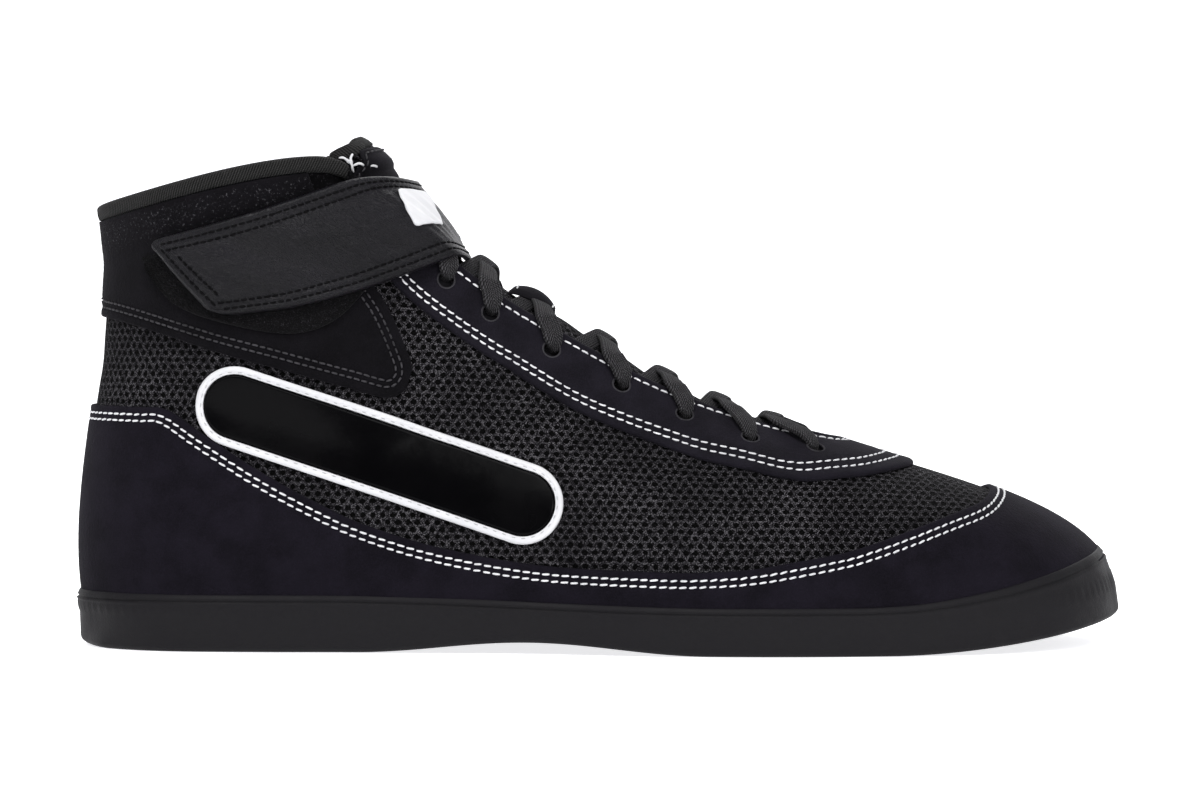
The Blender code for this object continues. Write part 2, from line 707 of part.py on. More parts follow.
def build_side_panel(grid, skin):
    """Plain bar with a pale rim on the outer side."""
    stations = station_run(grid, skin, 3, 14)
    high_row = WALL_ROWS - 1
    wide = BALL_WIDTH
    outer = grid.layer(1, high_row, GAP + SIDE_PANEL, stations)
    inner = grid.layer(1, high_row, GAP, stations)
    panel = sheet("side_panel", outer, inner)
    combine(panel, prism("panel_edge", pill(0.0), -wide, 0), "INTERSECT")
    finish(panel, ((0.015, 0.015, 0.016), 0.3))
    rim_sheet = sheet("side_panel_rim", outer, inner)
    combine(rim_sheet, prism("rim_edge", pill(GAP + PANEL_RIM), -wide, 0), "INTERSECT")
    combine(rim_sheet, prism("rim_inside", pill(GAP), -wide, 0), "DIFFERENCE")
    finish(rim_sheet, ((0.7, 0.7, 0.68), 0.5))


def build_binding(grid, skin):
    """Strip over the collar's edge: a flap outside and a cap on top, flush with the upper's inside."""
    stations = station_run(grid, skin, 11.5, skin.rows - 11.5)
    place = grid.stations[stations]
    edge = grid.point[-1][stations]
    below = grid.point[-2][stations]
    normal = grid.normal[-1][stations]
    low_normal = grid.normal[-2][stations]
    climb = skin.climb(place)
    rise = 1 - GAP / np.linalg.norm(edge - below, axis=-1)[:, None]
    flap = edge + (below - edge) * rise
    thick = BINDING_THICKNESS
    outer = np.stack(
        [
            flap + low_normal * (GAP + thick),
            edge + normal * (GAP + thick) + climb * thick * 0.3,
            edge + normal * thick * 0.5 + climb * (GAP + thick),
            edge - normal * (UPPER_WALL + GAP - thick * 0.4) + climb * (GAP + thick),
            edge - normal * UPPER_WALL + climb * (GAP + thick * 0.6),
        ]
    )
    inner = np.stack(
        [
            flap + low_normal * GAP,
            edge + normal * GAP + climb * GAP * 0.5,
            edge + normal * GAP * 0.9 + climb * GAP,
            edge - normal * (UPPER_WALL - thick * 0.4) + climb * GAP,
            edge - normal * UPPER_WALL + climb * GAP,
        ]
    )
    return sheet("collar_binding", outer, inner, colour=((0.013, 0.013, 0.014), 0.9))


def bridge(left, right, rise, count):
    """Points of Bezier curves from left to right whose middles stand out by the rise."""
    lift = rise * 4 / 3
    first = left + (right - left) * TONGUE_SHOULDER + lift
    second = right + (left - right) * TONGUE_SHOULDER + lift
    t = np.linspace(0, 1, count + 2)[1:-1, None, None]
    rest = 1 - t
    return rest**3 * left + 3 * rest**2 * t * first + 3 * rest * t**2 * second + t**3 * right


def tongue_start(skin, station):
    """Where the tongue's outer side comes out from under the throat's edge."""
    depth = UPPER_WALL + GAP
    under = skin.point(station, 1.0) - skin.normal(station, np.ones_like(station)) * depth
    return under + skin.climb(station) * TONGUE_START


def throat_front(skin, station):
    """Unit vector square to the throat's edge in the side view, out of the shoe."""
    step = 0.1
    run = skin.point(station + step, 1.0) - skin.point(station - step, 1.0)
    return unit(np.stack([run[..., 2], 0 * run[..., 0], -run[..., 0]], -1))


def build_tongue(grid, skin):
    """Sheet under both edges of the throat, arched between them, with a rounded top above the collar."""
    depth = UPPER_WALL + GAP
    left = station_run(grid, skin, 1, 11)
    right = (grid.count - left) % grid.count
    below = grid.point - grid.normal * depth
    sides = []
    for stations in (left, right):
        wing = below[-3] + (below[-2] - below[-3]) * TONGUE_WING
        start = tongue_start(skin, grid.stations[stations])
        sides.append(np.stack([wing[stations], below[-2][stations], below[-1][stations], start]))
    outward = throat_front(skin, grid.stations[left])
    crown = ring_curve(skin.crown, grid.stations[left])
    middle = bridge(sides[0][-1], sides[1][-1], outward * crown, 5)
    top = np.concatenate([sides[0], middle, sides[1][::-1]])
    top = np.concatenate([top, tongue_tip(top[:, -1])], axis=1)
    run = np.gradient(top, axis=1)
    across = np.gradient(top, axis=0)
    out = unit(np.cross(across, run))
    return sheet("tongue", top, top - out * TONGUE_THICKNESS, colour=((0.014, 0.014, 0.015), 0.9))


def tongue_tip(last):
    """The rows beyond the throat, each an arch from side to side, spaced as the throat's last row is."""
    tip = named_columns(TONGUE_TIP)
    steps = np.linalg.norm(np.diff(last, axis=0), axis=-1)
    reached = np.concatenate([[0], np.cumsum(steps)])
    turns = (2 * reached / reached[-1] - 1)[:, None]
    bow = 1 - turns**2
    middle_x = (tip["middle_along"] - 0.5) * SHOE_LENGTH
    side_x = (tip["side_along"] - 0.5) * SHOE_LENGTH
    x = side_x + (middle_x - side_x) * bow
    y = np.sin(turns * math.pi / 2) * tip["side_out"] * BALL_WIDTH
    z = (tip["side_up"] + (tip["middle_up"] - tip["side_up"]) * bow) * TOP_HEIGHT
    return np.stack([x, y, z], -1)


def strap_lines(skin, run, across, distance):
    """The strap's points: laid on the skin from the slanted tail forward, then bridged round the front.

    run is 0 at the tail, 1 where it leaves the outer side, 2 where it meets the inner side and 3 at its end.
    across is 0 on the lower edge and 1 on the upper edge.
    """
    top = open_curve(in_metres(STRAP_TOP), 61)
    bottom = open_curve(in_metres(STRAP_BOTTOM), 61)
    share = np.linspace(0, 1, 61)

    def laid(side, along, edge_share):
        x = np.stack([np.interp(along, share, line[:, 0]) for line in (bottom, top)], -1)
        z = np.stack([np.interp(along, share, line[:, 1]) for line in (bottom, top)], -1)
        mixed_x = x[..., 0] + (x[..., 1] - x[..., 0]) * edge_share
        mixed_z = z[..., 0] + (z[..., 1] - z[..., 0]) * edge_share
        station, up = skin.touch(side, np.stack([mixed_x, mixed_z], -1))
        return skin.point(station, up) + skin.normal(station, up) * distance

    step = 0.04
    ends = []
    for side in (-1, 1):
        end = laid(side, 1.0 + 0 * across, across)
        before = laid(side, 1.0 - step + 0 * across, across)
        ends.append((end, unit(end - before)))
    front = in_metres((STRAP_FRONT_BOTTOM, STRAP_FRONT_TOP))
    goal = front[0] + (front[1] - front[0]) * across[..., None]
    slope = unit(front[1] - front[0])
    goal = goal + np.array([slope[1], -slope[0]]) * (distance - STRAP_OUTER)
    (left, left_lean), (right, right_lean) = ends
    start_x = (left[..., 0] + right[..., 0]) / 2
    lean_x = (left_lean[..., 0] + right_lean[..., 0]) / 2
    pull = ((goal[..., 0] - start_x) / (0.75 * lean_x))[..., None]
    first = left + left_lean * pull
    second = right + right_lean * pull
    natural_z = (left[..., 2] + 3 * first[..., 2] + 3 * second[..., 2] + right[..., 2]) / 8
    t = np.clip(run - 1, 0, 1)[..., None]
    rest = 1 - t
    bridged = rest**3 * left + 3 * rest**2 * t * first + 3 * rest * t**2 * second + t**3 * right
    bridged[..., 2] += (goal[..., 1] - natural_z) * 16 * (t * rest)[..., 0] ** 2
    outer = laid(-1, np.clip(run, 0, 1), across)
    inner = laid(1, np.clip(3 - run, 0, 1), across)
    run = run[..., None]
    return np.where(run <= 1, outer, np.where(run >= 2, inner, bridged))


def build_strap(skin):
    run = np.concatenate([np.linspace(0, 1, 9), np.linspace(1, 2, 14)[1:-1], np.linspace(2, 3, 9)])
    across = np.linspace(0, 1, 5)
    grid_run, grid_across = np.meshgrid(run, across)
    outer = strap_lines(skin, grid_run, grid_across, STRAP_OUTER)
    inner = strap_lines(skin, grid_run, grid_across, STRAP_INNER)
    sheet("ankle_strap", outer[:, ::-1], inner[:, ::-1], colour=((0.012, 0.012, 0.013), 0.4))
    run = np.linspace(*LABEL_RUN, 8)
    grid_run, grid_across = np.meshgrid(run, np.linspace(*LABEL_ACROSS, 4))
    low = strap_lines(skin, grid_run, grid_across, STRAP_OUTER + GAP)
    high = strap_lines(skin, grid_run, grid_across, STRAP_OUTER + GAP + LABEL_THICKNESS)
    sheet("strap_label", high[:, ::-1], low[:, ::-1], colour=((0.75, 0.75, 0.73), 0.6))


def build_fastening_patch(grid, skin):
    """Thin fuzzy patch under the strap's tail, on the ankle panel."""
    stations = station_run(grid, skin, 8, 14.5)
    distance = GAP + OVERLAY + GAP
    high_row = WALL_ROWS - 1
    patch = sheet(
        "fastening_patch",
        grid.layer(3, high_row, distance + PATCH, stations),
        grid.layer(3, high_row, distance, stations),
    )
    outline = overlay_outline(PATCH_EDGE, PATCH_HIDDEN, 16)
    combine(patch, prism("patch_edge", outline, -BALL_WIDTH, 0), "INTERSECT")
    finish(patch, ((0.012, 0.012, 0.013), 0.95))


def punch_eyelets(skin, pieces):
    """Holes through the eyestay and the upper, straight along the skin's normal."""
    targets = in_metres(EYELETS)
    turns = np.linspace(0, 2 * math.pi, EYELET_SIDES, endpoint=False)
    for side in (-1, 1):
        station, up = skin.touch(side, targets)
        centres = skin.point(station, up)
        normals = skin.normal(station, up)
        for centre, normal in zip(centres, normals):
            across = unit(np.cross(normal, [1.0, 0.0, 0.0]))
            other = np.cross(normal, across)
            turn = np.cos(turns)[:, None] * across + np.sin(turns)[:, None] * other
            circle = centre + turn * EYELET_DIAMETER / 2
            for piece in pieces:
                low = circle - normal * EYELET_CUTTER_REACH
                high = circle + normal * EYELET_CUTTER_REACH
                count = EYELET_SIDES
                faces = [tuple(range(count - 1, -1, -1)), tuple(range(count, 2 * count))]
                for place in range(count):
                    after = (place + 1) % count
                    faces.append((place, after, after + count, place + count))
                cutter = make_object("eyelet_hole", np.concatenate([low, high]), faces)
                combine(piece, cutter, "DIFFERENCE")


def build_laces(skin):
    """Flat laces crossing from hole to hole over the throat, joined where they meet."""
    targets = in_metres(EYELETS)
    distance = GAP + OVERLAY + GAP + LACE_SPARE
    ends = {}
    for side in (-1, 1):
        station, up = skin.touch(side, targets)
        normal = skin.normal(station, up)
        ends[side] = (skin.point(station, up) + normal * distance, normal, station)
    whole = None
    for low in range(len(EYELETS) - 1):
        for side in (-1, 1):
            start, end = ends[side][0][low], ends[-side][0][low + 1]
            normals = ends[side][1][low], ends[-side][1][low + 1]
            station = (ends[-1][2][low] + ends[-1][2][low + 1]) / 2
            front = throat_front(skin, station)
            crown = ring_curve(skin.crown, station)[0]
            top = tongue_start(skin, station) * [1.0, 0.0, 1.0] + front * (crown + LACE_CLEAR)
            ribbon = lace_ribbon(start, end, normals, top, front)
            whole = ribbon if whole is None else combine(whole, ribbon, "UNION")
    whole.name = "lace_crossings"
    finish(whole, ((0.03, 0.03, 0.032), 0.9))


def lace_ribbon(start, end, normals, top, front):
    """One flat lace: a Bezier run from hole to hole through the top point, with a boxed section."""
    start = start - unit(end - start) * LACE_STAGGER + normals[0] * LACE_STAGGER / 4
    middle = (start + end) / 2 + (normals[0] + normals[1]) * LACE_RISE * 3 / 8
    lift = (top - middle) @ front * 4 / 3 * front
    first = start + (end - start) * LACE_SHOULDER + normals[0] * LACE_RISE + lift
    second = end + (start - end) * LACE_SHOULDER + normals[1] * LACE_RISE + lift
    t = np.linspace(0, 1, LACE_STEPS)[:, None]
    rest = 1 - t
    line = rest**3 * start + 3 * rest**2 * t * first + 3 * rest * t**2 * second + t**3 * end
    run = unit(np.gradient(line, axis=0))
    up = unit(normals[0] * rest**2 + 2 * rest * t * front + normals[1] * t**2)
    across = unit(np.cross(up, run)) * LACE_WIDTH / 2
    low = np.stack([line + across, line - across])
    high = low + up * LACE_THICKNESS
    return sheet("lace", high, low)


def main():
    for thing in list(bpy.data.objects):
        bpy.data.objects.remove(thing)
    skin = Skin()
    grid = Grid(skin)
    build_outsole(grid, skin)
    build_insole(grid)
    upper = sheet(
        "upper",
        grid.layer(0, WALL_ROWS, 0),
        grid.layer(0, WALL_ROWS, -UPPER_WALL),
        wrap=True,
        colour=((0.01, 0.01, 0.011), 0.9),
    )
    eyestay = build_overlays(grid, skin)
    build_side_panel(grid, skin)
    build_binding(grid, skin)
    build_tongue(grid, skin)
    build_fastening_patch(grid, skin)
    build_strap(skin)
    build_laces(skin)
    punch_eyelets(skin, [upper, eyestay])


main()
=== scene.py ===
"""Looks of a right wrestling shoe: fine meshes, stitches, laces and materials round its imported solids.

Metres, +X to the toe, +Y to the inner side of the foot, +Z up, as in the frame that is loaded.
The upper's outer form is a skin of wall curves. Every fine piece is laid on it at a distance of its own.
"""

import math

import bpy
import numpy as np
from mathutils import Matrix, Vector


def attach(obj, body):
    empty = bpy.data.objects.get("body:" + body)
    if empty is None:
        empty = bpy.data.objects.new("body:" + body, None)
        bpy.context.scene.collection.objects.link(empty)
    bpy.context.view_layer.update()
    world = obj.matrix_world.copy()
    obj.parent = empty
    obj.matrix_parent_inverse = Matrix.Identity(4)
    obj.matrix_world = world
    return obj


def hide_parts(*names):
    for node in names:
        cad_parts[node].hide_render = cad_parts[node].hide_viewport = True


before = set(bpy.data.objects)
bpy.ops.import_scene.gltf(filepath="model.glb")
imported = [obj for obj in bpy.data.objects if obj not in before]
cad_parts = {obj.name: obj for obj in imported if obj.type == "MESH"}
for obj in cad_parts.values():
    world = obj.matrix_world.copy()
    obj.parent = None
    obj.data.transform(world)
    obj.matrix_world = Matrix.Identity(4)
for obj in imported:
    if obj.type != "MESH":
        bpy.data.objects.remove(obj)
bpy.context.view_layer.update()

# Driving sizes
SHOE_LENGTH = 0.288
BALL_WIDTH = 0.102
TOP_HEIGHT = 0.140

# The sole
TOE_SPRING = 0.0085
ARCH_LIFT = 0.003
HEEL_LIFT = 0.0025
HEEL_BEVEL = 0.0014
SOLE_THICKNESS = 0.0048
LIP_HEIGHT = 0.0082
TOE_BUMPER = 0.0065
CUP_WALL = 0.0026
LIP_WALL = 0.0017
EDGE_ROUND = 0.0013
TREAD_DEPTH = 0.0014
TREAD_GROOVE = 0.0028
TREAD_MARGIN = 0.009
PIVOT_RADIUS = 0.0205
PIVOT_ALONG = 0.684
TREAD_ROWS = (0.155, 0.245, 0.285, 0.325, 0.52, 0.56, 0.792, 0.832, 0.872, 0.912)
SOLE_COLUMNS = 640
RUNG_POINTS = 48
RIB_COUNT = 213
RIB_DEPTH = 0.00022
INSOLE_THICKNESS = 0.0034

# The groove round the sole's side: shares of the side's height, each with how far it stands out there
SIDE_GROOVE = ((0.90, 0.0), (0.84, 0.0002), (0.80, -0.0003), (0.76, -0.0003), (0.72, 0.0002), (0.66, 0.0))

# Sheets and clearances
GAP = 0.0003
UPPER_WALL = 0.0024
MESH_WALL = 0.0011
OVERLAY = 0.0012
SIDE_PANEL = 0.0008
PATCH = 0.0007
STRAP_THICKNESS = 0.0019
STRAP_SPARE = 0.0006
LABEL_THICKNESS = 0.0006
LABEL_RUN = (1.05, 1.40)
LABEL_ACROSS = (0.34, 0.84)
BINDING_DEPTH = 0.0031
TONGUE_THICKNESS = 0.0028
TONGUE_START = 0.0008
TONGUE_WING = 0.5
TONGUE_SHOULDER = 0.2
TONGUE_DROP = 0.0014
STRAP_INNER = GAP + OVERLAY + GAP + PATCH + GAP + STRAP_SPARE
STRAP_OUTER = STRAP_INNER + STRAP_THICKNESS
STRAP_WIDE = 0.0225
STRAP_STRETCH = 0.045
STRAP_ROWS = (0.0017, 0.0034)
LABEL_CORNER = 0.16
LABEL_SLANT = 0.08

# Holes, laces and stitches
EYELET_DIAMETER = 0.0047
LACE_WIDTH = 0.0052
LACE_THICKNESS = 0.0014
STITCH_BOW = 0.00022
WHITE_ROWS = (0.0022, 0.0039)
ANKLE_ROWS = tuple(row + 0.0006 for row in WHITE_ROWS)
THROAT_ROW = 0.0024

# Depths inside an overlay's edge at which its rows lie
EDGE_STEPS = (
    0.0, 0.00012, 0.0003, 0.0006, 0.0010, 0.0014, 0.0018, 0.0022, 0.0026, 0.0030,
    0.0034, 0.0038, 0.0042, 0.0047, 0.0053, 0.0062,
)

# Stitches of each seam: pitch, length and radius
WHITE_STITCH = (0.00268, 0.0020, 0.00025)
ANKLE_STITCH = (0.0021, 0.0016, 0.00024)
STRAP_STITCH = (0.0021, 0.0017, 0.00026)
PANEL_STITCH = (0.0027, 0.0013, 0.00016)
SMALL_STITCH = (0.0022, 0.0016, 0.00022)

# The tongue: its padding, the rounded corners of its top edge, its knitted band and its smooth patch
PADDING = 0.0008
PADDING_WAVE = 0.021
TONGUE_CORNER = 0.012
BAND_THICKNESS = 0.0009
BAND_FLAP = 0.0036
PATCH_LENGTH = 0.034
PATCH_END = 0.0040
PATCH_SHARE = 0.62

# Camera, and what the soft woven cloths share
CAMERA_LENS = 150
CAMERA_PLACE = (0.0, -1.38, 0.112)
CAMERA_AIM = (0.0, 0.0, 0.067)
SOFT_CLOTH = {"specular_ior_level": 0.10, "sheen_weight": 0.02, "sheen_roughness": 0.5}

# Mesh cloth, and the height from which it is brushed to a pile
CELL_LENGTH = 0.0027
CELL_HEIGHT = 0.0019
PILE_FROM = 0.112

# Sole edge, a row for each section from the toe back to the heel, on the outer and then the inner side:
# shares of the length from the heel and of the ball's width from the middle
FOOTPRINT = (
    ("outer_along", "outer_out", "inner_along", "inner_out"),
    (0.990, -0.078, 0.990, 0.078),
    (0.977, 0.108, 0.981, 0.235),
    (0.931, 0.284, 0.941, 0.373),
    (0.851, 0.392, 0.858, 0.441),
    (0.750, 0.456, 0.771, 0.471),
    (0.646, 0.4725, 0.688, 0.466),
    (0.559, 0.446, 0.590, 0.412),
    (0.469, 0.392, 0.500, 0.324),
    (0.392, 0.348, 0.403, 0.265),
    (0.319, 0.324, 0.316, 0.260),
    (0.250, 0.314, 0.250, 0.279),
    (0.201, 0.312, 0.201, 0.292),
    (0.156, 0.306, 0.156, 0.297),
    (0.097, 0.284, 0.097, 0.275),
    (0.040, 0.191, 0.040, 0.181),
    (0.0122, 0.010, 0.0122, -0.010),
)

# The opening's edge, a row for each section, both sides alike: shares of length, ball width and top
# height, and how far the tongue arches out between both edges, as a share of the ball's width
OPENING = (
    ("along", "out", "up", "crown"),
    (0.729, 0.000, 0.396, 0.006),
    (0.726, 0.044, 0.398, 0.012),
    (0.715, 0.081, 0.401, 0.018),
    (0.698, 0.104, 0.409, 0.023),
    (0.674, 0.114, 0.420, 0.026),
    (0.635, 0.118, 0.442, 0.028),
    (0.587, 0.120, 0.480, 0.029),
    (0.528, 0.123, 0.537, 0.030),
    (0.462, 0.127, 0.614, 0.033),
    (0.392, 0.137, 0.704, 0.020),
    (0.319, 0.162, 0.826, 0.030),
    (0.271, 0.196, 0.914, 0.068),
    (0.236, 0.245, 0.947, 0.080),
    (0.160, 0.309, 0.926, 0.100),
    (0.076, 0.235, 0.883, 0.100),
    (0.024, 0.000, 0.854, 0.100),
)

# The wall's fullness, a row for each section of the wall's curve.
# As shares of the ball's width: how far the lower handle stands out on the outer side and on the inner side,
# and how far the upper handle stands out.
# As shares of the wall's height: how high the lower handle lies, and how low the upper handle lies.
# As a share of the way to the sole's edge: how far the upper handle reaches.
FULLNESS = (
    ("low_outer", "low_inner", "high_out", "rise", "drop", "reach"),
    (0.030, 0.030, 0.000, 0.52, 0.235, 0.41),
    (0.030, 0.030, 0.000, 0.52, 0.235, 0.41),
    (0.038, 0.038, 0.000, 0.52, 0.230, 0.42),
    (0.048, 0.048, 0.000, 0.52, 0.210, 0.45),
    (0.056, 0.056, 0.000, 0.50, 0.180, 0.50),
    (0.062, 0.068, 0.000, 0.48, 0.170, 0.52),
    (0.068, 0.080, 0.004, 0.45, 0.200, 0.50),
    (0.076, 0.098, 0.010, 0.44, 0.220, 0.50),
    (0.076, 0.106, 0.020, 0.42, 0.250, 0.52),
    (0.066, 0.096, 0.040, 0.40, 0.280, 0.50),
    (0.050, 0.076, 0.068, 0.38, 0.300, 0.40),
    (0.042, 0.058, 0.078, 0.36, 0.300, 0.30),
    (0.040, 0.048, 0.050, 0.35, 0.320, 0.20),
    (0.040, 0.046, 0.000, 0.33, 0.330, 0.10),
    (0.056, 0.056, -0.040, 0.32, 0.330, 0.00),
    (0.076, 0.076, -0.060, 0.31, 0.340, 0.00),
)

# Ankle bones and the hollows behind them: the side (-1 outer, 1 inner), shares of length and top height,
# the radius as a share of the top height and the swelling as a share of the ball's width
SWELLINGS = (
    ("side", "along", "up", "radius", "swelling"),
    (-1, 0.185, 0.560, 0.130, 0.028),
    (1, 0.205, 0.610, 0.130, 0.028),
    (-1, 0.085, 0.560, 0.110, -0.022),
    (1, 0.095, 0.590, 0.110, -0.022),
)

# Soft creases seen from the side: their two ends as shares of length and top height, half width and depth
# in metres, and the side they lie on (0 for both); a negative depth stands out
CREASES = (
    ("from_along", "from_up", "to_along", "to_up", "width", "depth", "side"),
    (0.690, 0.330, 0.735, 0.170, 0.0045, 0.0007, 0),
    (0.640, 0.330, 0.675, 0.190, 0.0050, -0.0005, 0),
    (0.600, 0.360, 0.640, 0.220, 0.0040, 0.0004, 0),
    (0.395, 0.480, 0.330, 0.420, 0.0050, 0.0008, 0),
    (0.400, 0.540, 0.345, 0.520, 0.0040, -0.0006, 0),
    (0.120, 0.470, 0.230, 0.400, 0.0060, 0.0006, 0),
    (0.060, 0.760, 0.150, 0.800, 0.0040, 0.0006, 0),
    (0.050, 0.560, 0.110, 0.590, 0.0050, 0.0006, 0),
    (0.160, 0.200, 0.300, 0.170, 0.0090, -0.0006, 0),
    (0.420, 0.360, 0.560, 0.250, 0.0080, 0.0006, -1),
)

# Overlay edges seen from the side: shares of the length from the heel and of the top height
STAY_EDGE = (
    (0.228, 0.974), (0.240, 0.931), (0.259, 0.846), (0.284, 0.763), (0.309, 0.700), (0.330, 0.661),
    (0.358, 0.617), (0.388, 0.574), (0.422, 0.530), (0.479, 0.460), (0.551, 0.399), (0.618, 0.357),
    (0.677, 0.332), (0.736, 0.333), (0.776, 0.343), (0.840, 0.365),
)
STAY_FRONT = (0.705, 0.112, 0.345)
FOXING_EDGE = (
    (-0.038, 0.474), (0.017, 0.471), (0.066, 0.470), (0.093, 0.467), (0.127, 0.423), (0.181, 0.350),
    (0.233, 0.291), (0.281, 0.246), (0.351, 0.203), (0.443, 0.171), (0.547, 0.160), (0.600, 0.160),
    (0.656, 0.170), (0.740, 0.203), (0.823, 0.257), (0.865, 0.288), (0.882, 0.340), (0.885, 0.431),
)
ANKLE_EDGE = (
    (0.218, 0.974), (0.226, 0.917), (0.241, 0.839), (0.266, 0.760), (0.298, 0.669), (0.318, 0.579),
    (0.323, 0.540), (0.318, 0.508), (0.300, 0.489), (0.261, 0.510), (0.190, 0.551), (0.137, 0.581),
    (0.065, 0.626), (0.017, 0.646), (-0.038, 0.656),
)
PATCH_TOP = ((0.072, 0.760), (0.120, 0.790), (0.170, 0.820), (0.225, 0.820), (0.285, 0.760))
PATCH_BOTTOM = (
    (0.078, 0.735), (0.105, 0.670), (0.155, 0.630), (0.212, 0.612), (0.252, 0.640), (0.285, 0.712),
)
STRAP_TOP = ((0.083, 0.791), (0.125, 0.816), (0.167, 0.843), (0.208, 0.872), (0.248, 0.901))
STRAP_BOTTOM = ((0.142, 0.644), (0.210, 0.660), (0.261, 0.686), (0.308, 0.717), (0.359, 0.755))
STRAP_FRONT_TOP = (0.325, 0.914)
STRAP_FRONT_BOTTOM = (0.3785, 0.757)
PANEL_ENDS = ((0.131, 0.493), (0.456, 0.268))
PANEL_WIDTH = 0.0170
PANEL_RIM = 0.0021
EYELETS = (
    (0.353, 0.714), (0.395, 0.649), (0.453, 0.577), (0.519, 0.507),
    (0.579, 0.449), (0.641, 0.403), (0.703, 0.383),
)

# Lace keeper on the tongue: where it starts and ends as shares of the length, its width and its height
KEEPER_ENDS = (0.412, 0.456)
KEEPER_WIDTH = 0.011
KEEPER_LIFT = 0.0034

# Loose white stitches at the tongue's top, seen from the side: three places of each, as shares of length
# and top height
LOOSE_STITCHES = (
    ((0.2528, 0.952), (0.2576, 0.950), (0.2622, 0.941)),
    ((0.2590, 0.951), (0.2639, 0.941), (0.2663, 0.925)),
    ((0.2650, 0.960), (0.2629, 0.949), (0.2650, 0.941)),
    ((0.2646, 0.938), (0.2705, 0.943), (0.2757, 0.938)),
    ((0.2778, 0.937), (0.2820, 0.940), (0.2884, 0.934)),
)

# The tongue's top beyond the throat: where its middle and its side edges run
TONGUE_TIP = (
    ("middle_along", "middle_up", "side_along", "side_out", "side_up"),
    (0.297, 0.945, 0.241, 0.181, 0.943),
    (0.285, 0.973, 0.247, 0.162, 0.971),
    (0.271, 0.992, 0.255, 0.113, 0.990),
)

# The last throat rows lean from this station on, and end this far below the tip
LEAN_FROM = 9.6
TIP_STEP = 0.0018

# Random texture is the same on every run
chance = np.random.default_rng(7)


def named_columns(table):
    """Each column of a table as an array, by its name."""
    names = table[0]
    numbers = np.array(table[1:], float)
    return {name: numbers[:, place] for place, name in enumerate(names)}


def both_sides(outer, inner):
    """A column's rows run round the shoe: toe, outer side, heel, inner side."""
    return np.concatenate([outer, inner[-2:0:-1]])


def ring_curve(rows, where):
    """Closed cubic curve with even bending through the rows, read at fractional row numbers."""
    rows = np.asarray(rows, float)
    count = len(rows)
    one = np.eye(count)
    spread = 4 * one + np.roll(one, 1, 0) + np.roll(one, -1, 0)
    bend = np.linalg.solve(spread, 6 * (np.roll(rows, -1, 0) - 2 * rows + np.roll(rows, 1, 0)))
    where = np.asarray(where, float)
    low = np.floor(where).astype(int)
    part = (where - low)[..., None]
    here = low % count
    after = (low + 1) % count
    rest = 1 - part
    line = rest * rows[here] + part * rows[after]
    return line + (rest**3 - rest) * bend[here] / 6 + (part**3 - part) * bend[after] / 6


def curve_at(rows, where):
    """Smooth open curve read at fractional row numbers: cubics whose slopes come from the neighbours."""
    rows = np.asarray(rows, float)
    slopes = np.gradient(rows, axis=0)
    where = np.asarray(where, float)
    low = np.clip(where.astype(int), 0, len(rows) - 2)
    t = (where - low).reshape(where.shape + (1,) * (rows.ndim - 1))
    return (
        (2 * t**3 - 3 * t**2 + 1) * rows[low]
        + (t**3 - 2 * t**2 + t) * slopes[low]
        + (3 * t**2 - 2 * t**3) * rows[low + 1]
        + (t**3 - t**2) * slopes[low + 1]
    )


def open_curve(rows, count):
    """The smooth open curve through the rows, at evenly spread row numbers."""
    return curve_at(rows, np.linspace(0, len(rows) - 1, count))


def lengths_along(path):
    """How far each point lies along its path, measured from the first row."""
    steps = np.linalg.norm(np.diff(path, axis=0), axis=-1)
    return np.concatenate([0 * steps[:1], np.cumsum(steps, axis=0)])


def even_steps(path, pitch):
    """Rows of a path at one pitch, measured by its first three columns, which are its points."""
    reached = lengths_along(path[:, :3])
    count = max(int(round(reached[-1] / pitch)), 2)
    where = (np.arange(count) + 0.5) * reached[-1] / count
    return np.stack([np.interp(where, reached, path[:, axis]) for axis in range(path.shape[1])], -1)


def in_metres(shares):
    """Side-view points from shares of the length and the top height."""
    return (np.asarray(shares, float) - [0.5, 0.0]) * [SHOE_LENGTH, TOP_HEIGHT]


def unit(vectors):
    return vectors / np.maximum(np.linalg.norm(vectors, axis=-1, keepdims=True), 1e-12)


def between(value, start, end):
    """How far a value lies from start to end, held between 0 and 1."""
    return np.clip((value - start) / (end - start), 0, 1)


def soft(value, start, end):
    """The same share, eased in and out."""
    share = between(value, start, end)
    return share * share * (3 - 2 * share)


def bell(distance, width):
    """A bell curve, 1 at no distance and nearly 0 past twice the width."""
    return np.exp(-((distance / width) ** 2))


def tread_height(x):
    """The sole's underside: flat under ball and heel, hollow at the arch, rising to the toe."""
    along = x / SHOE_LENGTH + 0.5
    arch = np.sin(math.pi * between(along, 0.27, 0.60)) ** 2
    toe = between(along, 0.775, 1.0) ** 1.8
    heel = between(along, 0.035, 0.0) ** 2
    return ARCH_LIFT * arch + TOE_SPRING * toe + HEEL_BEVEL * heel


def floor_height(x):
    """The sole's inside floor: its thickness above the toe's rise, and a low wedge under the heel."""
    along = x / SHOE_LENGTH + 0.5
    toe = between(along, 0.775, 1.0) ** 1.8
    wedge = between(along, 0.62, 0.25)
    return SOLE_THICKNESS + TOE_SPRING * toe + HEEL_LIFT * wedge * wedge * (3 - 2 * wedge)


def lip_height(x):
    """The top of the sole's side, which rises to a bumper at the toe."""
    along = x / SHOE_LENGTH + 0.5
    return floor_height(x) + LIP_HEIGHT + TOE_BUMPER * between(along, 0.74, 1.0) ** 1.5


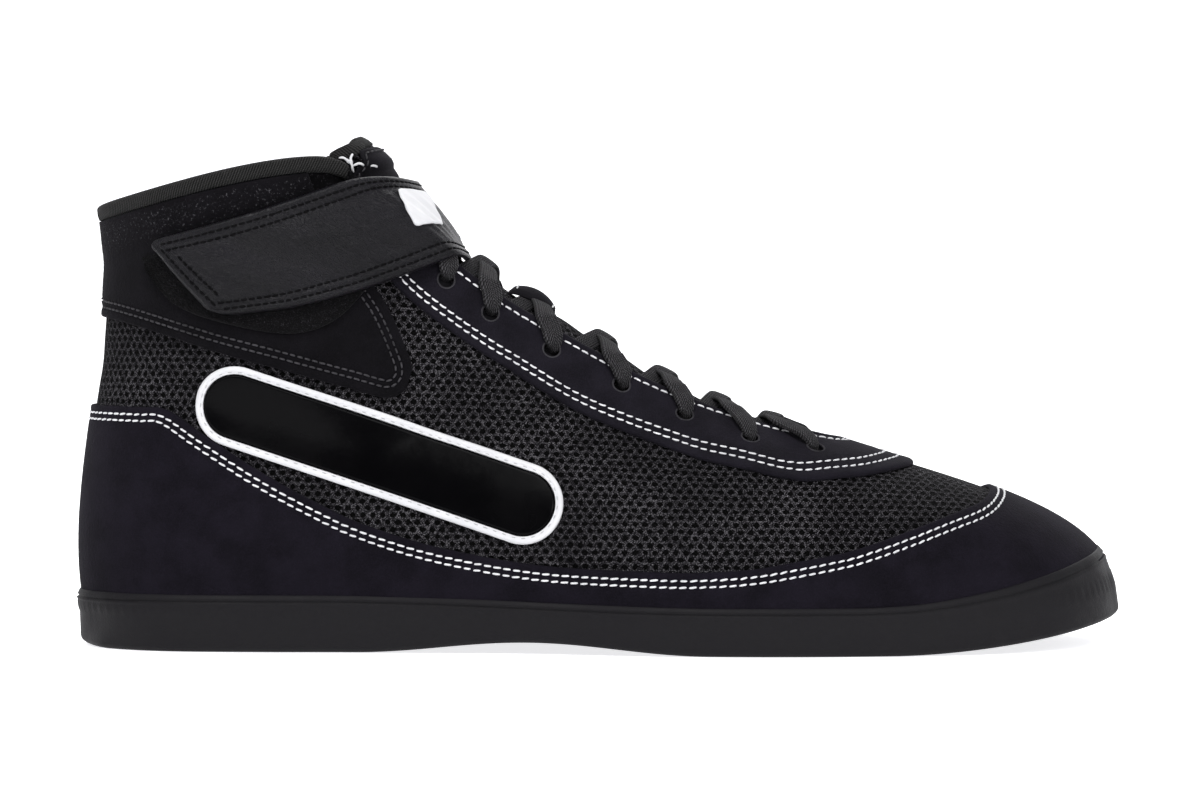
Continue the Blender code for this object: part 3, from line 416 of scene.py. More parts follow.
class Skin:
    """The upper's outer form: point(station, up), with up 0 at the sole's edge and 1 at the opening."""

    def __init__(self):
        foot = named_columns(FOOTPRINT)
        edge = named_columns(OPENING)
        full = named_columns(FULLNESS)
        along = both_sides(foot["outer_along"], foot["inner_along"])
        out = both_sides(-foot["outer_out"], foot["inner_out"])
        self.foot = np.column_stack([(along - 0.5) * SHOE_LENGTH, out * BALL_WIDTH])
        edge_along = both_sides(edge["along"], edge["along"])
        edge_out = both_sides(-edge["out"], edge["out"])
        edge_up = both_sides(edge["up"], edge["up"])
        self.edge = np.column_stack(
            [(edge_along - 0.5) * SHOE_LENGTH, edge_out * BALL_WIDTH, edge_up * TOP_HEIGHT]
        )
        self.full = np.column_stack(
            [
                both_sides(full["low_outer"], full["low_inner"]) * BALL_WIDTH,
                both_sides(full["high_out"], full["high_out"]) * BALL_WIDTH,
                both_sides(full["rise"], full["rise"]),
                both_sides(full["drop"], full["drop"]),
                both_sides(full["reach"], full["reach"]),
            ]
        )
        self.crown = both_sides(edge["crown"], edge["crown"])[:, None] * BALL_WIDTH
        self.rows = len(self.foot)
        self.half = self.rows // 2
        self.swellings = named_columns(SWELLINGS)
        self.creases = named_columns(CREASES)

    def outward(self, station):
        """Level unit vector out of the sole's edge."""
        step = 0.05
        run = ring_curve(self.foot, station + step) - ring_curve(self.foot, station - step)
        return unit(np.stack([-run[..., 1], run[..., 0], 0 * run[..., 0]], -1))

    def handles(self, station):
        """The four Bezier points of the wall at a station."""
        foot = ring_curve(self.foot, station)
        height = floor_height(foot[..., 0]) + GAP
        base = np.stack([foot[..., 0], foot[..., 1], height], -1)
        top = ring_curve(self.edge, station)
        full = ring_curve(self.full, station)
        out = self.outward(station)
        tall = top[..., 2:] - base[..., 2:]
        up = np.array([0.0, 0.0, 1.0])
        level = (base - top) * [1.0, 1.0, 0.0]
        low = base + out * full[..., 0:1] + up * tall * full[..., 2:3]
        high = top + level * full[..., 4:5] + out * full[..., 1:2] - up * tall * full[..., 3:4]
        return base, low, high, top

    def point(self, station, up):
        """The wall's Bezier curve at a station, pushed out at the ankle bones and in behind them."""
        station, up = np.broadcast_arrays(np.asarray(station, float), np.asarray(up, float))
        base, low, high, top = self.handles(station)
        t = up[..., None]
        rest = 1 - t
        place = rest**3 * base + 3 * rest**2 * t * low + 3 * rest * t**2 * high + t**3 * top
        out = self.outward(station)
        bumps = self.swellings
        for side, along, height, radius, swelling in zip(
            bumps["side"], bumps["along"], bumps["up"], bumps["radius"], bumps["swelling"]
        ):
            far_x = place[..., 0] - (along - 0.5) * SHOE_LENGTH
            far_z = place[..., 2] - height * TOP_HEIGHT
            near = np.exp(-(far_x**2 + far_z**2) / (radius * TOP_HEIGHT) ** 2)
            own_side = between(place[..., 1] * side, 0, 0.15 * BALL_WIDTH)
            place = place + out * (near * own_side * swelling * BALL_WIDTH)[..., None]
        return place

    def normal(self, station, up):
        """Unit vector out of the skin."""
        step = 0.01
        high = np.minimum(up + step, 1.0)
        low = np.maximum(up - step, 0.0)
        rise = self.point(station, high) - self.point(station, low)
        run = self.point(station + step, up) - self.point(station - step, up)
        return unit(np.cross(rise, run))

    def climb(self, station):
        """Unit vector up the wall at the opening's edge."""
        return unit(self.point(station, 1.0) - self.point(station, 0.98))

    def relief(self, place):
        """Soft creases: for each a bell across its line and along its ends, dented or raised."""
        height = 0 * place[..., 0]
        lines = self.creases
        for from_along, from_up, to_along, to_up, width, depth, side in zip(*lines.values()):
            start, end = in_metres(((from_along, from_up), (to_along, to_up)))
            run = end - start
            length = np.linalg.norm(run)
            run = run / length
            x = place[..., 0] - start[0]
            z = place[..., 2] - start[1]
            along = x * run[0] + z * run[1]
            bow = 0.08 * length * np.sin(math.pi * between(along, 0, length))
            across = z * run[0] - x * run[1] - bow
            past = along - np.clip(along, 0, length)
            own_side = 1.0 if side == 0 else between(place[..., 1] * side, 0, 0.1 * BALL_WIDTH)
            height = height - depth * bell(across, width) * bell(past, 0.5 * length) * own_side
        return height

    def lay(self, station, up, distance):
        """A point of the skin with its creases, moved out by a distance."""
        place = self.point(station, up)
        normal = self.normal(station, up)
        return place + normal * (self.relief(place) + distance)[..., None]

    def up_at_height(self, station, height_of):
        """Where the wall reaches the height that height_of gives for its x: halving steps."""
        low = np.zeros_like(station, float)
        high = np.ones_like(station, float)
        for _ in range(30):
            middle = (low + high) / 2
            place = self.point(station, middle)
            above = place[..., 2] > height_of(place[..., 0])
            high = np.where(above, middle, high)
            low = np.where(above, low, middle)
        return (low + high) / 2

    def up_below_edge(self, station, distance):
        """Where the wall is this far below the opening's edge."""
        step = 0.04
        length = np.linalg.norm(self.point(station, 1.0) - self.point(station, 1 - step), axis=-1)
        return 1 - step * distance / length

    def crossing(self, station, inside_of, depth, from_top):
        """First height up a wall, from its top or bottom, at which inside_of(place) passes the depth."""
        ups = np.linspace(0.02, 1.0, 240)
        ups = ups[::-1] if from_top else ups
        place = self.point(station[None], ups[:, None])
        value = inside_of(place) - depth
        left = value < 0
        started = value[0] >= 0
        first = np.argmax(left, axis=0)
        first = np.where(left.any(0) & started, np.maximum(first, 1), 1)
        columns = np.arange(len(station))
        after = value[first, columns]
        before = value[first - 1, columns]
        share = np.clip(before / np.where(before == after, 1.0, before - after), 0, 1)
        return ups[first - 1] + (ups[first] - ups[first - 1]) * share

    def touch(self, side, target):
        """Station and up of side-view points on the outer (-1) or inner (1) side: nearest, then Newton."""
        target = np.asarray(target, float)
        flat = target.reshape(-1, 2)
        lanes = np.linspace(0.4, self.half - 0.4, 46)
        lanes = lanes if side < 0 else self.rows - lanes
        rises = np.linspace(0.04, 1.0, 18)
        grid_station, grid_up = np.meshgrid(lanes, rises, indexing="ij")
        grid = self.point(grid_station, grid_up)[..., [0, 2]].reshape(-1, 2)
        best = np.empty(len(flat), int)
        for start in range(0, len(flat), 2000):
            part = flat[start : start + 2000]
            best[start : start + 2000] = ((part[:, None] - grid) ** 2).sum(-1).argmin(-1)
        station = grid_station.reshape(-1)[best]
        up = grid_up.reshape(-1)[best]
        step = 0.002
        for _ in range(9):
            here = self.point(station, up)[..., [0, 2]]
            by_station = (self.point(station + step, up)[..., [0, 2]] - here) / step
            by_up = (self.point(station, up + step)[..., [0, 2]] - here) / step
            miss = flat - here
            area = by_station[..., 0] * by_up[..., 1] - by_station[..., 1] * by_up[..., 0]
            move_station = (miss[..., 0] * by_up[..., 1] - miss[..., 1] * by_up[..., 0]) / area
            move_up = (miss[..., 1] * by_station[..., 0] - miss[..., 0] * by_station[..., 1]) / area
            station = station + np.clip(move_station, -0.5, 0.5)
            up = np.clip(up + np.clip(move_up, -0.1, 0.1), 0.0, 1.05)
        shape = target.shape[:-1]
        return station.reshape(shape), up.reshape(shape)


class SideLine:
    """A seam seen from the side: depth(place) is the distance from it, positive on its left."""

    def __init__(self, shares, count=90):
        self.line = open_curve(in_metres(shares), count)

    def depth(self, place):
        point = place[..., [0, 2]]
        flat = point.reshape(-1, 2)
        start = self.line[:-1]
        run = self.line[1:] - start
        square = (run**2).sum(-1)
        result = np.empty(len(flat))
        for first in range(0, len(flat), 20000):
            part = flat[first : first + 20000, None] - start
            share = np.clip((part * run).sum(-1) / square, 0, 1)
            away = part - run * share[..., None]
            far = (away**2).sum(-1)
            near = far.argmin(-1)
            rows = np.arange(len(near))
            turn = run[near, 0] * part[rows, near, 1] - run[near, 1] * part[rows, near, 0]
            result[first : first + 20000] = np.sqrt(far[rows, near]) * np.where(turn >= 0, 1, -1)
        return result.reshape(point.shape[:-1])


def grid_quads(rows, columns, wrap, turned, start=0):
    """Vertex numbers and unrolled grid places of every cell's four corners."""
    cells = columns if wrap else columns - 1
    row, column = np.meshgrid(np.arange(rows - 1), np.arange(cells), indexing="ij")
    row, column = row.ravel(), column.ravel()
    corner_row = np.stack([row, row, row + 1, row + 1], -1)
    corner_column = np.stack([column, column + 1, column + 1, column], -1)
    if turned:
        corner_row = corner_row[:, ::-1]
        corner_column = corner_column[:, ::-1]
    return start + corner_row * columns + corner_column % columns, corner_row, corner_column


def strip_quads(first, second, turned):
    """Cells between two equally long chains of vertex numbers."""
    cells = np.stack([first[:-1], first[1:], second[1:], second[:-1]], -1)
    return cells[:, ::-1] if turned else cells


class Body:
    """Points, four-cornered faces and their surface coordinates, gathered from grids."""

    def __init__(self):
        self.points = []
        self.faces = []
        self.coordinates = []
        self.count = 0

    def add(self, points, faces, coordinates=None):
        self.points.append(points.reshape(-1, 3))
        self.faces.append(faces + self.count)
        self.coordinates.append(np.zeros((len(faces), 4, 2)) if coordinates is None else coordinates)
        self.count += self.points[-1].shape[0]

    def sheet(self, outer, inner, wrap=False, coordinates=None):
        """Closed sheet between two grids of points of one shape, the outer grid facing out."""
        rows, columns = outer.shape[:2]
        size = rows * columns
        points = np.concatenate([outer.reshape(-1, 3), inner.reshape(-1, 3)])
        out_faces, corner_row, corner_column = grid_quads(rows, columns, wrap, True)
        in_faces = grid_quads(rows, columns, wrap, False, size)[0]
        around = np.append(np.arange(columns), 0) if wrap else np.arange(columns)
        top = (rows - 1) * columns + around
        faces = [out_faces, in_faces]
        faces += [strip_quads(around, around + size, False), strip_quads(top, top + size, True)]
        if not wrap:
            left = np.arange(rows) * columns
            right = left + columns - 1
            faces += [strip_quads(left, left + size, True), strip_quads(right, right + size, False)]
        whole = np.concatenate(faces)
        corners = np.zeros((len(whole), 4, 2))
        if coordinates is not None:
            across = np.concatenate([coordinates, coordinates[:, :1]], 1) if wrap else coordinates
            corners[: len(out_faces)] = across[corner_row, corner_column]
            corners[len(out_faces) : 2 * len(out_faces)] = corners[: len(out_faces)][:, ::-1]
        self.add(points, whole, corners)

    def tube(self, rings, coordinates=None):
        """Closed tube through rings of points, each a row, with both ends closed to their middle."""
        rows, columns = rings.shape[:2]
        faces, corner_row, corner_column = grid_quads(rows, columns, True, False)
        points = np.concatenate([rings.reshape(-1, 3), rings[0].mean(0)[None], rings[-1].mean(0)[None]])
        around = np.append(np.arange(columns), 0)
        low_cap = strip_quads(around, np.full(columns + 1, rows * columns), True)
        top = around + (rows - 1) * columns
        high_cap = strip_quads(top, np.full(columns + 1, rows * columns + 1), False)
        whole = np.concatenate([faces, low_cap, high_cap])
        corners = np.zeros((len(whole), 4, 2))
        if coordinates is not None:
            corners[: len(faces)] = coordinates[corner_row, corner_column]
        self.add(points, whole, corners)

    def piece(self, name, finish, node):
        """The mesh as an object that rides on the shoe and has the given finish; node, the CAD node it
        stands for, is not used.
        """
        points = np.concatenate(self.points)
        faces = np.concatenate(self.faces)
        corners = np.concatenate(self.coordinates)
        mesh = bpy.data.meshes.new(name)
        mesh.vertices.add(len(points))
        mesh.vertices.foreach_set("co", points.astype(np.float32).ravel())
        repeated = faces[:, 2] == faces[:, 3]
        first_repeated = faces[:, 0] == faces[:, 1]
        keep = np.ones(faces.shape, bool)
        keep[repeated, 3] = False
        keep[first_repeated & ~repeated, 1] = False
        sizes = keep.sum(-1)
        mesh.loops.add(int(sizes.sum()))
        mesh.loops.foreach_set("vertex_index", faces[keep].astype(np.int32))
        mesh.polygons.add(len(faces))
        starts = np.concatenate([[0], np.cumsum(sizes)[:-1]])
        mesh.polygons.foreach_set("loop_start", starts.astype(np.int32))
        mesh.polygons.foreach_set("use_smooth", np.ones(len(faces), bool))
        layer = mesh.uv_layers.new(name="surface")
        layer.data.foreach_set("uv", corners[keep].astype(np.float32).ravel())
        mesh.update(calc_edges=True)
        mesh.validate()
        thing = bpy.data.objects.new(name, mesh)
        bpy.context.scene.collection.objects.link(thing)
        thing.data.materials.append(finish)
        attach(thing, "root")
        return thing


class Amount:
    """A shader number: arithmetic on it adds Math nodes."""

    def __init__(self, look, socket):
        self.look = look
        self.socket = socket

    def __add__(self, other):
        return self.look.maths("ADD", self, other)

    def __sub__(self, other):
        return self.look.maths("SUBTRACT", self, other)

    def __rsub__(self, other):
        return self.look.maths("SUBTRACT", other, self)

    def __mul__(self, other):
        return self.look.maths("MULTIPLY", self, other)

    def __truediv__(self, other):
        return self.look.maths("DIVIDE", self, other)

    def __pow__(self, other):
        return self.look.maths("POWER", self, other)

    def __mod__(self, other):
        return self.look.maths("FLOORED_MODULO", self, other)

    __radd__ = __add__
    __rmul__ = __mul__


class Look:
    """A Principled material whose colour, roughness and bump are built from nodes."""

    def __init__(self, name, **fixed):
        self.material = bpy.data.materials.new(name)
        self.material.use_nodes = True
        self.tree = self.material.node_tree
        self.surface = self.tree.nodes["Principled BSDF"]
        for socket, value in fixed.items():
            title = socket.replace("_", " ").title().replace("Ior", "IOR")
            self.surface.inputs[title].default_value = value
        self.bumps = None

    def put(self, socket, value):
        if isinstance(value, Amount):
            self.tree.links.new(value.socket, socket)
        else:
            socket.default_value = value

    def node(self, kind, settings=None, inputs=None, output=0):
        """A node of one kind, with its settings and the values or links of its sockets."""
        made = self.tree.nodes.new(kind)
        for name, value in (settings or {}).items():
            setattr(made, name, value)
        for name, value in (inputs or {}).items():
            self.put(made.inputs[name], value)
        return Amount(self, made.outputs[output])

    def maths(self, operation, first, second=0.0):
        return self.node("ShaderNodeMath", {"operation": operation}, {0: first, 1: second})

    def place(self):
        """The point on the piece, in metres."""
        return self.node("ShaderNodeTexCoord", output="Object")

    def surface_place(self):
        """The piece's own surface coordinates, in metres."""
        return self.node("ShaderNodeUVMap", {"uv_map": "surface"})

    def split(self, vector):
        made = self.tree.nodes.new("ShaderNodeSeparateXYZ")
        self.put(made.inputs[0], vector)
        return [Amount(self, made.outputs[axis]) for axis in range(3)]

    def join(self, x, y, z=0.0):
        return self.node("ShaderNodeCombineXYZ", None, {0: x, 1: y, 2: z})

    def noise(self, size, detail=3.0, roughness=0.55, vector=None):
        """Noise whose grains have a size in metres."""
        vector = self.place() if vector is None else vector
        return self.node(
            "ShaderNodeTexNoise",
            None,
            {"Vector": vector, "Scale": 1 / size, "Detail": detail, "Roughness": roughness},
        )

    def step(self, value, low, high, from_value=0.0, to_value=1.0):
        """A smooth step of a value between two limits."""
        return self.node(
            "ShaderNodeMapRange",
            {"interpolation_type": "SMOOTHSTEP"},
            {"Value": value, "From Min": low, "From Max": high, "To Min": from_value, "To Max": to_value},
        )

    def mix(self, share, first, second):
        """A colour between two colours."""
        made = self.tree.nodes.new("ShaderNodeMix")
        made.data_type = "RGBA"
        self.put(made.inputs[0], share)
        for place, colour in ((6, first), (7, second)):
            self.put(made.inputs[place], colour if isinstance(colour, Amount) else (*colour, 1.0))
        return Amount(self, made.outputs[2])

    def colour(self, value):
        self.put(self.surface.inputs["Base Color"], value)

    def roughness(self, value):
        self.put(self.surface.inputs["Roughness"], value)

    def bump(self, height, depth):
        """Adds a bump whose height of 1 stands this many metres out."""
        inputs = {"Height": height, "Distance": depth, "Strength": 1.0}
        if self.bumps:
            inputs["Normal"] = self.bumps
        self.bumps = self.node("ShaderNodeBump", None, inputs)
        self.put(self.surface.inputs["Normal"], self.bumps)


def mesh_cloth(name, pile_from):
    """Knitted mesh: staggered rounded holes between twisted threads, brushed to a pile above a height."""
    look = Look(name, roughness=0.85, specular_ior_level=0.05)
    wander = look.noise(0.006, 2.0)
    u, v, _ = look.split(look.surface_place())
    u = u + (wander - 0.5) * 0.0009
    v = v + (wander - 0.5) * 0.0006
    row = look.maths("FLOOR", v / CELL_HEIGHT)
    across = (u / CELL_LENGTH + (row % 2.0) * 0.5) % 1.0 - 0.5
    up = (v / CELL_HEIGHT) % 1.0 - 0.5
    wide = look.maths("ABSOLUTE", across / 0.36)
    tall = look.maths("ABSOLUTE", up / 0.46)
    away = wide**1.5 + tall**1.5
    fibres = look.noise(0.00036, 3.0, 0.75)
    thread = look.step(away + (fibres - 0.5) * 0.9, 0.36, 0.95)
    twist = look.maths("SINE", (u + v * 1.6) * 9000.0) * 0.5 + 0.5
    # Painted highlights: bright specks on the raised threads stand in for light glinting off their fibres,
    # spread unevenly by a large noise
    glint_spread = look.noise(0.030, 2.0)
    speck = look.step(fibres, 0.50, 0.64) * thread * (twist * 0.8 + 0.2)
    share = speck * look.step(glint_spread, 0.3, 0.7, 0.5, 1.0)
    # Partly painted shade: the holes between the threads are painted near black, darker than the dark lining
    # behind them, as shade in the openings
    weave = look.mix(thread, (0.0001, 0.0001, 0.0001), (0.0034, 0.0030, 0.0039))
    weave = look.mix(share, weave, (0.210, 0.202, 0.218))
    _, _, height = look.split(look.place())
    brushed = look.step(height, pile_from - 0.003, pile_from + 0.003)
    tuft = look.noise(0.0007, 4.0, 0.75)
    pile = look.mix(look.step(tuft, 0.55, 0.75), (0.0016, 0.0015, 0.0018), (0.050, 0.047, 0.053))
    look.colour(look.mix(brushed, weave, pile))
    open_weave = 1 - brushed
    look.bump(thread * open_weave, 0.00050)
    look.bump((fibres * thread + twist * thread * 0.4) * open_weave + tuft * brushed, 0.00025)
    return look.material


def suede(name, colour, nap=1.0, specks=0.0):
    """Brushed leather: fine nap, cloudy shade, no gloss; specks brightens the fluff near the top edge."""
    look = Look(name, roughness=0.95, specular_ior_level=0.06, sheen_weight=0.018, sheen_roughness=0.5)
    look.surface.inputs["Sheen Tint"].default_value = (0.85, 0.82, 0.95, 1.0)
    fine = look.noise(0.00038, 3.0, 0.7)
    cloud = look.noise(0.011, 4.0, 0.6)
    pores = look.noise(0.0011, 2.0, 0.6)
    dark = tuple(0.5 * part for part in colour)
    light = tuple(1.5 * part for part in colour)
    share = look.step(cloud, 0.3, 0.7) * 0.5 + look.step(fine, 0.35, 0.7) * 0.5
    shade = look.mix(share, dark, light)
    if specks:
        _, below, _ = look.split(look.surface_place())
        near = look.step(below, 0.0115, 0.0060) * look.step(below, 0.0005, 0.0025)
        tuft = look.noise(0.0008, 4.0, 0.8)
        shade = look.mix(look.step(tuft, 0.56, 0.72) * near * specks, shade, (0.085, 0.082, 0.090))
        look.bump(tuft * near, 0.0004)
    look.colour(shade)
    look.bump(fine, 0.00011 * nap)
    look.bump(pores, 0.00016 * nap)
    return look.material


def strap_leather():
    """Smooth coated leather: creased grain cells, finer wrinkles between them, uneven gloss; the creases
    between the cells are painted darker as shade.
    """
    look = Look("strap leather", roughness=0.34, specular_ior_level=0.17)
    place = look.surface_place()
    bent = look.noise(0.0030, 3.0, 0.6, place)
    u, v, _ = look.split(place)
    warped = look.join(u + (bent - 0.5) * 0.0012, v + (bent - 0.5) * 0.0020)
    cells = look.node(
        "ShaderNodeTexVoronoi",
        {"feature": "DISTANCE_TO_EDGE"},
        {"Vector": warped, "Scale": 1 / 0.00085, "Randomness": 1.0},
    )
    grain = look.noise(0.00045, 3.0, 0.65, place)
    cloud = look.noise(0.02, 3.0, 0.5, place)
    crease_relief_and_shade = look.step(cells, 0.0, 0.12)
    # Painted shade: the creases between the grain cells are darker in colour as well as sunk by the bump
    shade = look.step(cloud, 0.3, 0.7) * 0.6 + crease_relief_and_shade * 0.25 + grain * 0.15
    look.colour(look.mix(shade, (0.0009, 0.0008, 0.0014), (0.0066, 0.0059, 0.0082)))
    look.roughness(look.step(cloud, 0.25, 0.75, 0.42, 0.27) + (grain - 0.5) * 0.25)
    look.bump(crease_relief_and_shade, 0.00012)
    look.bump(grain, 0.00011)
    look.bump(bent, 0.00024)
    return look.material


def plain_rubber(name, colour, roughness, grain):
    """Moulded rubber: very fine grain and scuffed gloss."""
    look = Look(name, roughness=roughness, specular_ior_level=0.10)
    fine = look.noise(0.0006, 3.0, 0.6)
    scuff = look.noise(0.012, 4.0, 0.6)
    dark = tuple(0.75 * part for part in colour)
    light = tuple(1.3 * part for part in colour)
    look.colour(look.mix(scuff, dark, light))
    look.roughness(look.step(scuff, 0.3, 0.7, roughness - 0.08, roughness + 0.1))
    look.bump(fine, grain)
    return look.material


def gloss_film():
    """Smooth glossy film with a faint orange peel."""
    look = Look("gloss film", roughness=0.20, specular_ior_level=0.05)
    peel = look.noise(0.0045, 2.0)
    smear = look.noise(0.018, 3.0)
    look.colour(look.mix(smear, (0.0006, 0.0006, 0.0008), (0.0015, 0.0014, 0.0017)))
    look.roughness(look.step(smear, 0.3, 0.7, 0.20, 0.32))
    look.bump(peel, 0.00008)
    return look.material


def pale_film(name):
    """Pale matt film: slight shade and grain."""
    look = Look(name, roughness=0.5, specular_ior_level=0.35)
    cloud = look.noise(0.01, 3.0)
    grain = look.noise(0.0005, 3.0)
    look.colour(look.mix(cloud, (0.46, 0.46, 0.48), (0.60, 0.60, 0.61)))
    look.bump(grain, 0.00006)
    return look.material


def thread_look(name, dark, light, gloss=0.3):
    """Sewing thread: fine twist, a little dirt."""
    look = Look(name, roughness=0.65, specular_ior_level=gloss)
    twist = look.noise(0.00025, 2.0, 0.6)
    dirt = look.noise(0.009, 3.0)
    shade = look.step(twist, 0.3, 0.7) * 0.5 + look.step(dirt, 0.3, 0.65) * 0.5
    look.colour(look.mix(shade, dark, light))
    look.bump(twist, 0.00008)
    return look.material


def woven_lace():
    """Flat braid: diagonal strands that meet in the middle, on coordinates along and across the lace."""
    look = Look("woven lace", roughness=0.9, **SOFT_CLOTH)
    along, across, _ = look.split(look.surface_place())
    slope = look.maths("ABSOLUTE", across) * 0.9
    fibres = look.noise(0.00040, 3.0, 0.75)
    loose = (fibres - 0.5) * 0.00055
    strands = look.maths("SINE", (along + slope + loose) * (2 * math.pi / 0.00074)) * 0.5 + 0.5
    cords = look.maths("SINE", (across + loose) * (2 * math.pi / 0.00065)) * 0.5 + 0.5
    weave = strands * 0.55 + cords * 0.45
    # Painted shade and highlight: the grooves between the strands are painted darker and the raised strands
    # lighter, on the bump's own pattern; the fibre noise is the yarn's own uneven tone
    shade = look.step(weave, 0.30, 0.90) * 0.6 + look.step(fibres, 0.48, 0.72) * 0.4
    look.colour(look.mix(shade, (0.0016, 0.0015, 0.0019), (0.080, 0.077, 0.083)))
    look.bump(weave, 0.00034)
    look.bump(fibres, 0.00014)
    return look.material


def ribbed_knit():
    """Knitted binding: fine slanted ribs across the band, on surface coordinates along and across it."""
    look = Look("ribbed knit", roughness=0.9, **SOFT_CLOTH)
    along, across, _ = look.split(look.surface_place())
    ribs = look.maths("SINE", (along + across * 0.35) * (2 * math.pi / 0.00078)) * 0.5 + 0.5
    loops = look.maths("SINE", (across + along * 0.2) * (2 * math.pi / 0.00062)) * 0.5 + 0.5
    fibres = look.noise(0.00032, 3.0, 0.7)
    weave = ribs * 0.7 + loops * 0.3
    # Painted shade and highlight: the grooves between the ribs are painted darker and the raised ribs
    # lighter, on the bump's own pattern; the fibre noise is the yarn's own uneven tone
    shade = look.step(weave, 0.2, 0.9) * 0.7 + look.step(fibres, 0.45, 0.75) * 0.3
    look.colour(look.mix(shade, (0.0022, 0.0022, 0.0022), (0.030, 0.0295, 0.029)))
    look.bump(weave, 0.00026)
    look.bump(fibres, 0.00014)
    return look.material


def loop_pile(name):
    """Fuzzy loop cloth: tangled fibres with bright specks."""
    look = Look(name, roughness=0.95, specular_ior_level=0.10, sheen_weight=0.02, sheen_roughness=0.4)
    tangle = look.noise(0.0009, 5.0, 0.75)
    specks = look.noise(0.0004, 3.0, 0.8)
    look.colour(look.mix(look.step(specks, 0.55, 0.75), (0.0012, 0.0011, 0.0014), (0.045, 0.042, 0.048)))
    look.bump(tangle, 0.0006)
    look.bump(specks, 0.0003)
    return look.material


def soft_lining():
    """Smooth knitted lining: tiny loops in rows."""
    look = Look("soft lining", roughness=0.95, **SOFT_CLOTH)
    loops = look.noise(0.0008, 3.0, 0.6)
    cloud = look.noise(0.014, 3.0)
    look.colour(look.mix(cloud, (0.009, 0.0085, 0.010), (0.018, 0.017, 0.020)))
    look.bump(loops, 0.0003)
    return look.material


def weave_coordinates(place, station, skin):
    """Surface coordinates of the mesh cloth, along and up.

    Along is x, with the heel's turn unrolled by the sole edge's length past its x.
    Up is the straight distance from the sole's edge at the same x.
    """
    fine = np.linspace(0, skin.rows, 1201)
    foot = ring_curve(skin.foot, fine)
    steps = np.diff(foot, axis=0)
    extra = np.linalg.norm(steps, axis=-1) - np.abs(steps[:, 0])
    behind = foot[:-1, 0] < 0
    unrolled = np.concatenate([[0], np.cumsum(np.where(behind, extra, 0.0))])
    half = unrolled[len(unrolled) // 2]
    turn = np.interp(station % skin.rows, fine, np.where(fine <= skin.half, unrolled, 2 * half - unrolled))
    outer = foot[: len(foot) // 2]
    inner = foot[len(foot) // 2 :]
    low = np.interp(-place[..., 0], -outer[:, 0], -outer[:, 1])
    high = np.interp(place[..., 0], inner[:, 0], inner[:, 1])
    side = soft(place[..., 1], -0.01, 0.01)
    reach = np.abs(low + (high - low) * side) - np.abs(place[..., 1])
    up = np.hypot(np.maximum(reach, 0), place[..., 2])
    return np.stack([place[..., 0] - turn, up], -1)


def rows_below(length, near, far_count):
    """Distances from an edge for each column: near ones as given, squeezed where short, then even ones."""
    near = np.asarray(near, float)[:, None]
    squeeze = np.minimum(1.0, 0.8 * length / near[-1])
    close = near * squeeze
    share = np.linspace(0, 1, far_count + 1)[1:, None]
    return np.concatenate([close, close[-1] + (length - close[-1]) * share])


def ups_by_distance(skin, station, start, end, near, far_count):
    """Heights at set distances from the edge start towards end, one column for each station."""
    ups = start + (end - start) * np.linspace(0, 1, 60)[:, None]
    reached = lengths_along(skin.point(station, ups))
    wanted = rows_below(reached[-1], near, far_count)
    columns = [np.interp(wanted[:, c], reached[:, c], ups[:, c]) for c in range(len(station))]
    return np.stack(columns, -1)


def raw_edge(depth, thickness, radius=0.0007):
    """Thickness of a sheet this deep inside its raw edge: a quarter round."""
    share = np.clip(depth / radius, 0, 1)
    return thickness * np.sqrt(np.clip(1 - (1 - share) ** 2, 0.0, 1)) * 0.75 + thickness * 0.25


def seam_dents(depth, rows, dent=0.00022, width=0.0006):
    """How far the stitch rows pull a sheet in."""
    return sum(dent * bell(depth - row, width) for row in rows)


def build_upper(skin, cloth, lining):
    """The mesh shell and the lining inside it, each a closed ring of wall curves."""
    station = np.linspace(0, skin.rows, 420, endpoint=False)
    up = np.linspace(0, 1, 68)[:, None]
    grid_station, grid_up = np.broadcast_arrays(station[None], up)
    outer = skin.lay(grid_station, grid_up, 0.0)
    inner = skin.lay(grid_station, grid_up, -MESH_WALL)
    coordinates = weave_coordinates(outer, grid_station, skin)
    shell = Body()
    shell.sheet(outer, inner, True, coordinates)
    upper = shell.piece("mesh_upper", cloth, "upper")
    inside = Body()
    deep = soft(grid_up, 0.45, 0.97) * soft(np.abs(grid_station - skin.half), 6.5, 3.5)
    plump = 0.0012 * deep * (0.75 + 0.25 * np.cos(grid_up * 26))
    near = skin.lay(grid_station, grid_up, -MESH_WALL - 0.00005)
    far = skin.lay(grid_station, grid_up, -UPPER_WALL - plump)
    inside.sheet(near, far, True)
    inside.piece("upper_lining", lining, "upper")
    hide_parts("upper")
    return upper


def below_line(line):
    """Depth inside a panel that lies on the right of its seam."""
    return lambda place: -line.depth(place)


def build_foxing(skin, finish, line):
    """Suede wrapped low round the shoe, from its curved top seam down behind the sole's lip."""
    station = np.linspace(0, skin.rows, 620, endpoint=False)
    depth_of = below_line(line)
    high = skin.crossing(station, depth_of, 0.0, False)
    low = skin.up_at_height(station, lambda x: lip_height(x) - 0.003)
    up = ups_by_distance(skin, station, high, low, EDGE_STEPS, 16)
    grid_station = np.broadcast_to(station, up.shape)
    depth = np.maximum(depth_of(skin.point(grid_station, up)), 0)
    thickness = raw_edge(depth, OVERLAY) - seam_dents(depth, WHITE_ROWS)
    body = Body()
    body.sheet(
        skin.lay(grid_station, up, GAP + thickness)[::-1],
        skin.lay(grid_station, up, GAP)[::-1],
        True,
    )
    piece = body.piece("suede_foxing", finish, "foxing")
    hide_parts("foxing")


